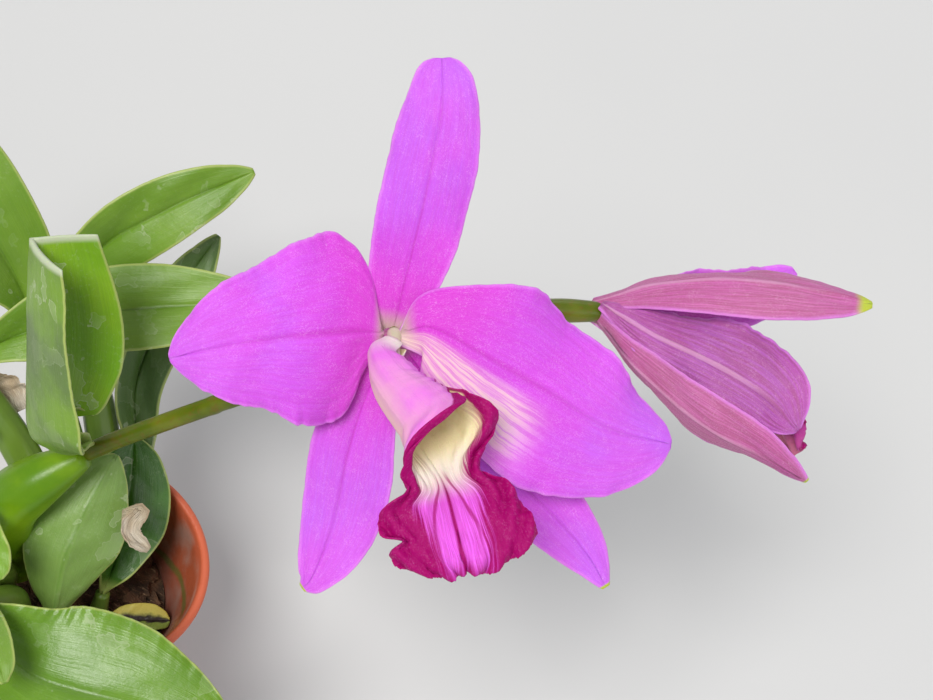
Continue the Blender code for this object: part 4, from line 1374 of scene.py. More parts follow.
@dataclass
class Pot:
    """Tapered plastic pot with a rolled rim and drain holes."""

    rim_radius: float = 35.0
    height: float = 64.0
    base_radius: float = 23.0
    wall: float = 1.6
    roll: float = 2.8
    floor: float = 2.4
    shoulder_step: float = 1.7
    sides: int = 144
    hole_radius: float = 2.6
    hole_circle: float = 13.0
    hub: float = 6.0
    holes: int = 5
    finish: Finish = field(default_factory=PotFinish)

    def slope(self) -> float:
        """Growth of the wall's radius with height."""
        return (self.rim_radius - self.shoulder_step - self.base_radius) / (self.height - 6)

    def outline(self) -> list[tuple[float, float]]:
        """Draw one side of the pot.

        Returns:
            Radius and height from the base's middle, over the rim, to the floor's middle.
        """
        shoulder = self.base_radius + self.slope() * (self.height - 7)
        roll = self.roll / 2
        centre = self.rim_radius - roll
        base = self.base_radius
        line = [(self.hub, 0.0), (base - 1.2, 0.0), (base - 0.4, 0.35), (base, 1.2)]
        for share in np.arange(1, 9) / 8:
            line.append((base + (shoulder - base) * share, 1.2 + (self.height - 6.7) * share))
        for degrees in range(-50, 170, 18):
            angle = math.radians(degrees)
            line.append((centre + roll * math.cos(angle), self.height - roll + roll * math.sin(angle)))
        low = base - self.wall + 0.2
        high = shoulder - self.wall
        for share in np.arange(9) / 8:
            z = self.height - 6.5 + (self.floor + 7.7 - self.height) * share
            line.append((high + (low - high) * share, z))
        line += [(low - 0.5, self.floor + 0.4), (low - 1.2, self.floor), (self.hub, self.floor)]
        return line

    def parts(self) -> MeshParts:
        """Turn the outline about the Z axis, a little out of round.

        Returns:
            The closed mesh.
        """
        line = self.outline()
        angles = np.linspace(0, FULL_TURN, self.sides, endpoint=False)
        rings = []
        for radius, z in line:
            uneven = 1 + 0.0035 * np.sin(3 * angles + 0.6) * z / self.height
            flat = radius * uneven
            level = np.full_like(angles, z)
            rings.append(np.stack([flat * np.cos(angles), flat * np.sin(angles), level], axis=1))
        cloud = np.vstack(rings + [np.array([[0, 0, 0.0], [0, 0, self.floor]])])
        faces = []
        last = (len(line) - 1) * self.sides
        for s in range(self.sides):
            n = (s + 1) % self.sides
            for k in range(len(line) - 1):
                a, b = k * self.sides + s, k * self.sides + n
                faces.append((a, b, b + self.sides, a + self.sides))
            faces.append((len(cloud) - 2, n, s))
            faces.append((len(cloud) - 1, last + s, last + n))
        return MeshParts(cloud, faces)

    def build(self) -> bpy.types.Object:
        """Make the pot and drill its drain holes.

        Returns:
            The finished pot.
        """
        pot = self.parts().make("pot_fine")
        turn_outward(pot)
        drills = bpy.data.collections.new("drills")
        bpy.context.scene.collection.children.link(drills)
        for k in range(self.holes):
            angle = FULL_TURN * (k + 0.5) / self.holes
            x, y = self.hole_circle * math.cos(angle), self.hole_circle * math.sin(angle)
            path = ((x, y, -2.0), (x, y, 2.0), (x, y, self.floor + 2.0))
            drill = Spindle(path, ((0, self.hole_radius), (1, self.hole_radius)), 32, 3).make("drill")
            bpy.context.scene.collection.objects.unlink(drill)
            drills.objects.link(drill)
        change = pot.modifiers.new("drain", "BOOLEAN")
        change.operand_type = "COLLECTION"
        change.collection = drills
        change.solver = "EXACT"
        apply_modifiers(pot)
        for drill in list(drills.objects):
            bpy.data.objects.remove(drill, do_unlink=True)
        bpy.data.collections.remove(drills)
        edges = pot.modifiers.new("edges", "EDGE_SPLIT")
        edges.split_angle = math.radians(50)
        apply_modifiers(pot)
        return hand_over(pot, self.finish.material("pot"), "pot_plastic", "pot")


@dataclass
class Bark:
    """Bark chunks that fill the pot."""

    top: float = 34.0
    chunks: int = 190
    gap: float = 0.45
    seed: int = 11
    pot: Pot = field(default_factory=Pot)
    finish: Finish = field(default_factory=BarkFinish)

    def inner_radius(self, z: float) -> float:
        """Radius of the pot's inner wall at a height."""
        return self.pot.base_radius - self.pot.wall + 0.15 + self.pot.slope() * (z - 3.6)

    def chunk(self, rng: random.Random, centre: Vector, size: float) -> MeshParts:
        """Model one rough piece of bark.

        Args:
            rng: source of its shape.
            centre: where it lies.
            size: half its length.

        Returns:
            Its closed mesh.
        """
        build = bmesh.new()
        bmesh.ops.create_cube(build, size=2.0)
        bmesh.ops.subdivide_edges(build, edges=build.edges, cuts=3, use_grid_fill=True)
        turn = Matrix.Rotation(rng.uniform(0, math.pi), 3, "Z")
        turn = turn @ Matrix.Rotation(rng.uniform(-0.5, 0.5), 3, "Y")
        shape = Vector((size, size * rng.uniform(0.4, 0.62), size * rng.uniform(0.25, 0.4)))
        start = Vector((rng.uniform(0, 50), rng.uniform(0, 50), 0))
        points = []
        for vert in build.verts:
            round_off = 1 - 0.12 * (vert.co.length - 1)
            rough = noise.noise(vert.co * 1.7 + start) * 0.28 + noise.noise(vert.co * 5.0 + start) * 0.1
            co = Vector((vert.co[k] * shape[k] for k in range(3))) * (round_off + rough)
            points.append(turn @ co + centre)
        faces = [tuple(v.index for v in f.verts) for f in build.faces]
        build.free()
        return MeshParts(np.array([tuple(p) for p in points]), faces)

    def build(self) -> bpy.types.Object:
        """Make the filling with its loose top.

        Returns:
            The finished piece.
        """
        rng = random.Random(self.seed)
        low = self.inner_radius(4.3) - self.gap
        high = self.inner_radius(self.top) - self.gap
        spine = ((0, 0, 2.9), (0, 0, 18.0), (0, 0, self.top - 1.0))
        core = Spindle(spine, ((0, low), (0.5, (low + high) / 2), (1, high)), 72, 12, caps=(0.0, 0.0))
        pieces = [core.parts()]
        for k in range(self.chunks):
            size = rng.uniform(2.6, 5.2)
            radius = (high - size - 0.3) * math.sqrt((k + 0.5) / self.chunks)
            angle = k * GOLDEN_ANGLE + rng.uniform(-0.25, 0.25)
            z = self.top + rng.uniform(-1.2, 1.9)
            centre = Vector((radius * math.cos(angle), radius * math.sin(angle), z))
            pieces.append(self.chunk(rng, centre, size))
        item = join_parts(pieces).make("potting_bark_fine")
        turn_outward(item)
        item.data.polygons.foreach_set("use_smooth", [False] * len(item.data.polygons))
        return hand_over(item, self.finish.material("potting_bark"), "bark", "potting_bark")


@dataclass
class Growth:
    """A pseudobulb and its leaf."""

    bulb: str
    spindle: Spindle
    skin: Finish
    leaf: Blade | None = None

    def build(self) -> None:
        """Make the bulb, then its leaf."""
        item = self.spindle.make(self.bulb + "_fine")
        hand_over(item, self.skin.material(self.bulb), "bulb_skin", self.bulb)
        if self.leaf:
            self.leaf.build()


@dataclass
class FlowerStem:
    """Peduncle with its joint, and a stalk with an ovary to each bloom, grown as one piece."""

    stalk: tuple[Point, ...]
    front: tuple[Point, ...]
    side: tuple[Point, ...]
    radius: float = 2.5
    joint_radius: float = 3.4
    ovary_radius: float = 3.2
    voxel: float = 0.42
    finish: Finish = field(default_factory=SkinFinish)

    def build(self) -> bpy.types.Object:
        """Join the three stems in one skin.

        Returns:
            The finished stem.
        """
        main = ((0, self.radius), (0.5, self.radius), (0.9, self.radius + 0.2), (1, self.joint_radius))
        ovary = ((0, 2.4), (0.4, 2.2), (0.8, self.ovary_radius), (0.95, 2.9), (1, 2.4))
        pieces = [Spindle(self.stalk, main, 28, 90, scars=(0.45, 0.9), stretch=(2.6, 0.0)).parts()]
        pieces.append(Spindle(self.front, ovary, 28, 50, 0.10, 6, stretch=(0.0, -0.4)).parts())
        pieces.append(Spindle(self.side, ovary, 28, 60, 0.10, 6, stretch=(0.0, 1.6)).parts())
        item = join_parts(pieces).make("flower_stem_fine")
        turn_outward(item)
        skin = item.modifiers.new("skin", "REMESH")
        skin.mode = "VOXEL"
        skin.voxel_size = self.voxel * MM
        skin.use_smooth_shade = True
        soften = item.modifiers.new("soften", "SMOOTH")
        soften.factor = 0.5
        soften.iterations = 4
        apply_modifiers(item)
        return hand_over(item, self.finish.material("flower_stem"), "stem_green", "flower_stem")


@dataclass
class Bloom:
    """One bloom: sepals, petals, lip and column."""

    name: BloomName
    prefix: str
    tepals: list[Blade]
    lip: Blade
    column: Spindle
    column_finish: Finish

    def build(self) -> None:
        """Make every piece of the bloom."""
        for tepal in self.tepals:
            tepal.build()
        self.lip.build()
        spine = np.array(self.column.spine) @ BLOOM_AXES + np.array(self.name.value)
        self.column.spine = tuple(tuple(p) for p in spine.tolist())
        item = self.column.make(self.prefix + "_column_fine")
        node = self.prefix + "_column"
        hand_over(item, self.column_finish.material(node), "column", node)


# Studio


@dataclass
class Studio:
    """Pale floor, soft lights and the photograph's viewing angle."""

    lens: float = 70.457
    eye: Point = (63.214, -225.690, 566.092)
    right: Point = (0.85749, 0.41798, 0.3)
    up: Point = (-0.51450, 0.69663, 0.5)
    back: Point = (0.0, -0.58310, 0.81240)
    floor_size: float = 24000.0
    sky: tuple[float, ...] = (0.92, 0.95, 1.0, 1.0)
    sky_strength: float = 0.33

    def light(
        self, name: str, place: Point, aim: Point, spread: float, strength: float, color: Color
    ) -> None:
        """Add one even, soft light.

        Args:
            name: its name.
            place: where it hangs, in mm.
            aim: what it looks at, in mm.
            spread: how wide it looks, in degrees.
            strength: its strength.
            color: its colour.
        """
        data = bpy.data.lights.new(name, "SUN")
        data.angle = math.radians(spread)
        data.energy = strength
        data.color = color
        lamp = bpy.data.objects.new(name, data)
        lamp.location = Vector(place) * MM
        lamp.rotation_euler = (Vector(aim) - Vector(place)).to_track_quat("-Z", "Y").to_euler()
        bpy.context.scene.collection.objects.link(lamp)

    def build(self) -> None:
        """Make floor, camera, lights and world."""
        half = self.floor_size / 2
        corners = np.array([(-half, -half, 0), (half, -half, 0), (half, half, 0), (-half, half, 0)], float)
        floor = MeshParts(corners, [(0, 1, 2, 3)]).make("floor")
        floor.data.materials.append(FloorFinish().material("floor"))
        data = bpy.data.cameras.new("camera")
        data.lens = self.lens
        data.sensor_width = 36.0
        data.clip_start = 0.01
        camera = bpy.data.objects.new("camera", data)
        turn = Matrix((self.right, self.up, self.back)).transposed().to_4x4()
        camera.matrix_world = Matrix.Translation(Vector(self.eye) * MM) @ turn
        bpy.context.scene.collection.objects.link(camera)
        bpy.context.scene.camera = camera
        self.light("key", (-120, -330, 760), (40, 20, 180), 24.0, 2.65, (1.0, 0.985, 0.96))
        self.light("fill", (480, -120, 520), (40, 30, 160), 40.0, 0.6, (0.97, 0.98, 1.0))
        self.light("back", (-260, 480, 520), (20, 20, 160), 40.0, 0.55, (1.0, 1.0, 1.0))
        world = bpy.data.worlds.new("world")
        world.use_nodes = True
        world.node_tree.nodes["Background"].inputs[0].default_value = self.sky
        world.node_tree.nodes["Background"].inputs[1].default_value = self.sky_strength
        bpy.context.scene.world = world
        bpy.context.scene.view_settings.view_transform = "Standard"


# The plant's values

LEAF_SHAPES: dict[str, BladeShape] = {
    "leaf_cut": BladeShape(
        spine=((-15, 7.6, 108.2), (-20, 2, 110), (-27, -0.5, 115), (-32.5, 4.5, 126), (-40, 13.5, 141),
            (-49.3, 25.2, 160.8)),
        facing=((0.5, 0.4, 0.75), (0.75, 0.3, 0.6), (0.92, 0.1, 0.4), (0.92, 0.08, 0.4), (0.92, 0.08, 0.4)),
        widths=((0, 6.0, 4.0), (0.08, 13, 8.5), (0.2, 21.5, 15), (0.35, 25.5, 21), (0.5, 26, 25),
            (0.72, 24.5, 24), (1, 21, 17)),
        fold=((0, 50), (0.3, 44), (1, 40)),
        curl=((0, 40), (0.3, 34), (0.6, 26), (1, 24)),
        ripple=(0.25, 2.0, 0.4),
        slant=0.03,
    ),
    "leaf_cross": BladeShape(
        spine=((-57.8, 18.6, 94.0), (-51, 27, 103), (-33, 45, 111.5), (-12, 58, 119), (6, 69, 125)),
        facing=((0.3, -0.6, 0.7), (0.1, -0.35, 0.93), (0.05, -0.4, 0.9)),
        widths=((0, 3.2), (0.12, 6.5), (0.35, 12), (0.65, 12.6), (0.85, 8.8), (0.95, 4.8), (1, 1.2)),
        fold=((0, 52), (0.3, 24), (1, 14)),
        curl=((0, 10), (0.5, -8), (1, -4)),
        ripple=(0.5, 2.5, 0.0),
    ),
    "leaf_far_left": BladeShape(
        spine=((-47.6, 35.2, 99.6), (-57, 40.5, 109), (-71, 43, 124), (-87, 48, 138), (-105, 55, 149)),
        facing=((0.5, -0.5, 0.7), (0.45, -0.5, 0.74), (0.3, -0.4, 0.86)),
        widths=((0, 3.2), (0.12, 7.6), (0.32, 14.4), (0.6, 14), (0.83, 9.4), (0.95, 4.6), (1, 1.2)),
        fold=((0, 50), (0.3, 24), (1, 10)),
        curl=((0, 8), (0.5, -6), (1, -12)),
        ripple=(0.5, 2.0, 1.0),
    ),
    "leaf_rear": BladeShape(
        spine=((-38.6, 47.6, 95.6), (-46, 53, 106), (-42, 62, 119.5), (-30, 76, 134), (-16, 92, 145)),
        facing=((0.6, -0.6, 0.5), (0.35, -0.6, 0.7), (0.2, -0.5, 0.84)),
        widths=((0, 3.0), (0.12, 6.4), (0.35, 10.4), (0.6, 10.4), (0.82, 7.6), (0.94, 4.0), (1, 1.1)),
        fold=((0, 50), (0.3, 28), (1, 14)),
        curl=((0, 8), (0.5, -8), (1, -6)),
        ripple=(0.4, 2.0, 0.5),
    ),
    "leaf_inner": BladeShape(
        spine=((-1.4, 26.2, 68.2), (-9, 36, 75), (-18, 48, 85), (-20.5, 68, 101), (-18.5, 87, 115)),
        facing=((0.5, -0.6, 0.6), (0.5, -0.4, 0.76), (0.4, -0.5, 0.76)),
        widths=((0, 2.8), (0.12, 5.6), (0.35, 8.6), (0.65, 9.4), (0.85, 6.8), (0.95, 3.4), (1, 1.0)),
        fold=((0, 52), (0.3, 36), (1, 26)),
        curl=((0, 8), (0.5, -4), (1, -4)),
        ripple=(0.3, 2.0, 0.2),
    ),
    "leaf_grey": BladeShape(
        spine=((1.0, -21.5, 60.2), (-1.6, -17.5, 67), (-5.0, -9.5, 76), (-7, 4, 86), (-7.8, 18, 93)),
        facing=((-0.3, 0.75, -0.55), (-0.25, 0.7, -0.66), (-0.2, 0.6, -0.75)),
        widths=((0, 3.0, 3.0), (0.15, 9.0, 9.5), (0.4, 15, 13.5), (0.65, 14.4, 13.5), (0.85, 9.2, 8.6),
            (0.95, 4.2, 4.2), (1, 1.0, 1.0)),
        fold=((0, 46), (0.3, 22), (1, 12)),
        curl=((0, 10), (0.5, 10), (1, 6)),
        ripple=(0.4, 2.0, 0.7),
    ),
    "leaf_oval": BladeShape(
        spine=((6.6, -0.4, 52.8), (5, 6, 59), (0.5, 16.5, 67.5), (-5, 27, 76), (-8.5, 32.5, 81)),
        facing=((0.5, -0.5, 0.7), (0.45, -0.5, 0.74), (0.4, -0.5, 0.76)),
        widths=((0, 2.4), (0.15, 7.0), (0.4, 12.6), (0.65, 12.6), (0.85, 8.6), (0.95, 4.4), (1, 1.2)),
        fold=((0, 40), (0.3, 16), (1, 8)),
        curl=((0, 8), (0.5, -10), (1, -8)),
        ripple=(0.4, 2.0, 0.1),
    ),
    "leaf_near": BladeShape(
        spine=((-17, -36.6, 79.6), (-8, -44, 84), (10, -49, 89), (36, -43.5, 94), (62, -36, 96)),
        facing=((-0.2, -0.3, 0.93), (-0.15, -0.35, 0.92), (-0.1, -0.3, 0.95)),
        widths=((0, 3.0), (0.1, 8.6), (0.25, 16.5), (0.45, 22), (0.65, 21), (0.82, 14.5), (0.93, 8),
            (1, 1.4)),
        fold=((0, 44), (0.3, 16), (1, 10)),
        curl=((0, 8), (0.5, -12), (1, -12)),
        ripple=(0.5, 2.5, 0.3),
    ),
    "leaf_small": BladeShape(
        spine=((-25, -33, 78), (-20, -42, 87), (-9, -50, 97), (0, -56, 103), (5, -60, 103)),
        facing=((0.3, -0.2, 0.93), (0.25, -0.2, 0.93), (0.1, -0.4, 0.9)),
        widths=((0, 2.2), (0.15, 4.6), (0.4, 7.4), (0.7, 7.4), (0.9, 4.4), (1, 1.0)),
        fold=((0, 44), (0.3, 22), (1, 12)),
        curl=((0, 8), (0.5, -4), (1, -4)),
        ripple=(0.3, 2.0, 0.9),
    ),
    "leaf_stub": BladeShape(
        spine=((-31, -14, 88), (-27, -20, 90), (-20, -27, 91), (-14, -32, 91)),
        facing=((-0.2, -0.2, 0.95), (-0.1, -0.2, 0.95)),
        widths=((0, 2.0), (0.3, 4.4), (0.7, 5.6), (0.92, 3.8), (1, 1.4)),
        fold=((0, 30), (1, 10)),
        curl=((0, 6), (1, -8)),
        ripple=(0.2, 2.0, 0.0),
    ),
}

DRY_SHAPES: dict[str, BladeShape] = {
    "dry_sheath": BladeShape(
        spine=((-44.6, 12.2, 78.0), (-47.6, 13.2, 79.6), (-53.4, 15.1, 82.6), (-57.5, 16.6, 85.4)),
        facing=((0.5, 0.05, 0.86), (0.5, 0.1, 0.85)),
        widths=((0, 19), (0.4, 18.5), (0.75, 14), (1, 8)),
        curl=((0, 112), (0.5, 104), (1, 66)),
        ripple=(0.5, 3.0, 0.5),
    ),
    "dry_bract": BladeShape(
        spine=((2.0, 7.8, 81.6), (4.6, 9.0, 85.4), (7.0, 9.4, 87.8), (6.4, 5, 86), (8.5, 2.5, 84.4),
            (14.5, 2, 84)),
        facing=((0.0, -0.4, 0.9), (0.3, -0.3, 0.9)),
        widths=((0, 1.2), (0.25, 1.8), (0.6, 3.4), (0.85, 2.6), (1, 1.0)),
        fold=((0, 10), (1, 10)),
        curl=((0, 70), (1, 90)),
        ripple=(0.3, 2.0, 0.5),
    ),
    "dying_leaf": BladeShape(
        spine=((12.5, -7, 41), (17, -3, 42.5), (22, 0.5, 43), (28, 4, 44)),
        facing=((-0.1, 0.1, 0.98), (-0.3, 0.1, 0.94)),
        widths=((0, 2.0), (0.3, 5.0), (0.7, 5.4), (0.92, 3.4), (1, 1.2)),
        fold=((0, 24), (1, 12)),
        curl=((0, 10), (1, 24)),
        ripple=(0.4, 2.0, 0.2),
    ),
}

FRONT_TEPAL_SHAPES: dict[str, BladeShape] = {
    "front_dorsal_sepal": BladeShape(
        spine=((0.6, 3.9, -2.8), (3.4, 15.2, -0.4), (8.0, 33.4, 6.6), (11.6, 51.4, 10.6),
            (11.6, 63.6, 9.6)),
        facing=((-0.1, -0.2, 0.95), (0.05, -0.25, 0.95), (0.0, 0.15, 0.98)),
        widths=((0, 4.8, 3.6), (0.1, 8.2, 7.2), (0.24, 9.6, 9.3), (0.42, 10.4, 10.4), (0.62, 10.4, 10.4),
            (0.8, 9.2, 9.2), (0.92, 7.0, 7.0), (0.98, 4.6, 4.6), (1, 2.2, 2.2)),
        fold=((0, 14), (0.4, 4), (1, 10)),
        curl=((0, 12), (0.5, -16), (0.85, -30), (1, 30)),
        ripple=(0.7, 2.5, 0.4),
    ),
    "front_petal_left": BladeShape(
        spine=((-3.4, 0.6, 0.4), (-9, 0.9, 3.2), (-16.5, 0.3, 7), (-28, -1.0, 11), (-40.5, -3.1, 12.5),
            (-51, -5.4, 10)),
        facing=((0.25, 0.0, 0.95), (0.3, -0.05, 0.95), (-0.1, -0.1, 0.98)),
        widths=((0, 3.0, 3.4), (0.07, 10.5, 16.5), (0.16, 19.5, 24.2), (0.27, 22.5, 22.8), (0.42, 21, 20.6),
            (0.57, 17.4, 17), (0.72, 14.2, 13.6), (0.86, 9.6, 9), (0.95, 5.4, 5.0), (1, 1.2, 1.2)),
        fold=((0, 10), (0.3, 3), (1, 3)),
        curl=((0, -24), (0.35, -30), (0.7, -22), (1, -10)),
        ripple=(1.1, 2.6, 0.15),
    ),
    "front_petal_right": BladeShape(
        spine=((3.8, 1.0, 1.0), (9.5, 1.6, 2.6), (21, -4.4, 0.4), (36, -13, -5), (52, -22.6, -10.5),
            (67.2, -26.6, -17)),
        facing=((-0.1, 0.05, 0.98), (0.2, 0.1, 0.95), (0.3, 0.1, 0.93)),
        widths=((0, 3.4, 4.8), (0.08, 10, 10), (0.2, 16.2, 15), (0.36, 20.5, 19.8), (0.5, 19.5, 22.8),
            (0.65, 17, 22), (0.8, 13.4, 17), (0.91, 8.8, 10.4), (0.97, 5.2, 5.8), (1, 1.4, 1.4)),
        fold=((0, 10), (0.3, 4), (1, 3)),
        curl=((0, -10), (0.4, -26), (0.75, -20), (1, -10)),
        ripple=(1.9, 2.4, 0.55),
    ),
    "front_sepal_left": BladeShape(
        spine=((-1.6, -3.6, -2.2), (-6.0, -13, -4), (-10.9, -27.6, -5.5), (-14.4, -44, -5.5),
            (-19.5, -57.4, -6), (-22, -60.4, -7)),
        facing=((0.1, 0.2, 0.95), (0.0, 0.1, 0.98), (-0.2, 0.0, 0.97)),
        widths=((0, 2.0, 2.0), (0.12, 5.4, 5.4), (0.3, 9.4, 8.6), (0.5, 11.6, 9.2), (0.68, 11.2, 8.2),
            (0.83, 8.8, 6.0), (0.93, 5.4, 3.8), (1, 1.1, 1.1)),
        fold=((0, 12), (0.4, 5), (1, 8)),
        curl=((0, 10), (0.5, -18), (1, -10)),
        ripple=(0.7, 2.0, 0.3),
    ),
    "front_sepal_right": BladeShape(
        spine=((2.4, -3.0, -2.4), (13.0, -16.8, -9), (26, -31.5, -15), (38.4, -43.8, -18), (47, -54, -20),
            (51.7, -62, -21)),
        facing=((0.0, 0.1, 0.98), (0.2, 0.0, 0.97), (0.3, -0.1, 0.95)),
        widths=((0, 2.0), (0.12, 5.4), (0.3, 8.4), (0.52, 9.3), (0.7, 8.8), (0.85, 6.4), (0.94, 3.6),
            (1, 1.1)),
        fold=((0, 12), (0.4, 5), (1, 8)),
        curl=((0, 10), (0.5, -18), (1, -10)),
        ripple=(0.7, 2.0, 0.8),
    ),
}

SIDE_TEPAL_SHAPES: dict[str, BladeShape] = {
    "side_dorsal_sepal": BladeShape(
        spine=((1.2, 3.0, 0.4), (12.1, 6.0, 5), (24.2, 7.4, 8.6), (38.8, 7.0, 10.4), (53.9, 4.8, 10),
            (67.3, 1.6, 8.5)),
        facing=((0.2, -0.75, -0.6), (0.1, -0.78, -0.62), (0.0, -0.7, -0.7)),
        widths=((0, 2.8, 3.4), (0.12, 5.0, 6.4), (0.3, 8.2, 9.8), (0.55, 10.0, 10.4), (0.75, 9.0, 9.0),
            (0.89, 5.8, 5.8), (0.96, 3.2, 3.2), (1, 1.1, 1.1)),
        fold=((0, 16), (1, 10)),
        curl=((0, 14), (0.5, 22), (1, 12)),
        ripple=(0.6, 2.0, 0.2),
    ),
    "side_sepal_near": BladeShape(
        spine=((1.0, -3.8, 1.8), (9.4, -14.4, 8), (23.4, -27.2, 13), (37.0, -34.6, 14), (50.5, -42.2, 11)),
        facing=((0.5, 0.65, -0.55), (0.5, 0.62, -0.6), (0.5, 0.7, -0.5)),
        widths=((0, 3.2, 2.8), (0.12, 6.0, 4.2), (0.3, 8.2, 6.8), (0.55, 9.0, 9.0), (0.75, 7.8, 7.8),
            (0.89, 5.0, 5.0), (0.96, 2.8, 2.8), (1, 1.0, 1.0)),
        fold=((0, 16), (1, 10)),
        curl=((0, 12), (0.5, 18), (1, 8)),
        ripple=(0.5, 2.0, 0.6),
    ),
    "side_sepal_far": BladeShape(
        spine=((0.4, -2.6, -3.4), (12, -7.0, -14), (27, -11, -25), (42, -15, -30), (57, -20.5, -30)),
        facing=((0.3, 0.3, 0.9), (0.2, 0.45, 0.86), (0.1, 0.5, 0.86)),
        widths=((0, 2.0), (0.12, 5.2), (0.3, 8.0), (0.55, 8.8), (0.75, 7.6), (0.89, 4.8), (0.96, 2.8),
            (1, 1.0)),
        fold=((0, 16), (1, 8)),
        curl=((0, 12), (0.5, 10), (1, 6)),
        ripple=(0.5, 2.0, 0.1),
    ),
    "side_petal_near": BladeShape(
        spine=((3.0, 0.2, 4.0), (13, -6.2, 9.2), (27, -13.2, 13.4), (39.6, -21, 15), (47.8, -29.5, 14)),
        facing=((0.3, -0.3, -0.9), (0.3, -0.38, -0.88), (0.3, -0.3, -0.9)),
        widths=((0, 2.4, 3.0), (0.1, 4.2, 5.6), (0.3, 7.0, 10.4), (0.52, 8.0, 13.4), (0.7, 7.8, 14),
            (0.86, 7.0, 10.5), (0.95, 4.4, 6.0), (1, 1.3, 1.3)),
        fold=((0, 14), (0.5, 8), (1, 4)),
        curl=((0, 10), (0.5, 20), (1, -10)),
        ripple=(1.3, 2.2, 0.35),
    ),
    "side_petal_far": BladeShape(
        spine=((3.2, 2.2, -3.0), (15, 2.8, -11), (31, 2.6, -17.5), (45, 5.5, -20), (53, 11.5, -20)),
        facing=((0.4, -0.3, 0.86), (0.3, -0.4, 0.86), (0.1, -0.3, 0.94)),
        widths=((0, 2.0, 2.0), (0.1, 4.5, 3.6), (0.3, 8.6, 5.6), (0.52, 10, 7), (0.72, 9.5, 8),
            (0.86, 7.0, 7.0), (0.95, 4.4, 4.8), (1, 1.3, 1.3)),
        fold=((0, 14), (0.5, 6), (1, 4)),
        curl=((0, 8), (0.5, 8), (1, -10)),
        ripple=(1.1, 2.2, 0.75),
    ),
}

LIP_SHAPES: dict[str, BladeShape] = {
    "front_lip": BladeShape(
        spine=((1.0, -4.0, 2.0), (-1.0, -8.8, 4.4), (0.3, -16.5, 8.6), (7.0, -25.6, 14.6),
            (12.4, -34.4, 20.6), (14.8, -42.6, 25.0), (16.6, -50, 26.4), (17.4, -54.6, 24.0)),
        facing=((0.1, 0.9, 0.3), (0.38, 0.76, 0.5), (0.42, 0.72, 0.55), (0.2, 0.4, 0.86), (0.05, 0.1, 0.98),
            (0.05, -0.35, 0.93)),
        widths=((0, 3.0, 12.5), (0.1, 7.6, 19.6), (0.25, 14, 25.5), (0.36, 18.5, 28.5), (0.425, 20, 29.5),
            (0.46, 19.5, 25.5), (0.5, 17, 18), (0.55, 12, 12), (0.62, 9.6, 10.0), (0.68, 14, 16),
            (0.77, 16.2, 16.6), (0.87, 17.5, 15.6), (0.95, 17.5, 14), (1, 14.5, 10)),
        curl=((0, 90, 240), (0.1, 130, 206), (0.25, 142, 206), (0.36, 132, 204), (0.42, 118, 202),
            (0.46, 104, 172), (0.5, 88, 122), (0.55, 68, 80), (0.62, 38, 44), (0.7, 8, 10), (0.8, 0, 2),
            (1, -22, -22)),
        flare=((0, 0, 0), (0.3, -10, 0), (0.5, -120, -20), (0.6, -50, -30), (0.7, -8, -20), (1, -8, -12)),
        edge_ripple=((0, 0.0), (0.3, 0.0), (0.42, 0.8), (0.5, 1.3), (0.64, 1.2), (0.8, 1.1), (1, 0.6)),
        edge_waves=(7.0, 3.5),
        reach=0.11,
        notch=0.03,
        lean=0.2,
    ),
    "side_lip": BladeShape(
        spine=((2.8, -3.8, -0.4), (8, -7.2, 0.0), (18, -13.4, -1), (29, -20.5, -2), (39, -27.0, -2),
            (46, -32, -1.5), (51, -36.5, -1)),
        facing=((0.5, 0.8, 0.0), (0.5, 0.85, -0.05), (0.5, 0.85, -0.1), (0.6, 0.75, -0.1)),
        widths=((0, 3.4), (0.1, 8.0), (0.25, 14), (0.42, 18), (0.55, 20), (0.64, 16), (0.75, 16.5),
            (0.88, 16.5), (1, 11)),
        curl=((0, 60), (0.1, 124), (0.25, 148), (0.42, 136), (0.55, 104), (0.66, 66), (0.8, 50), (1, 34)),
        edge_ripple=((0, 0.0), (0.4, 0.2), (0.55, 1.2), (0.66, 0.9), (0.82, 1.5), (1, 1.8)),
        edge_waves=(6.0, 3.0),
        reach=0.14,
        notch=0.04,
    ),
}

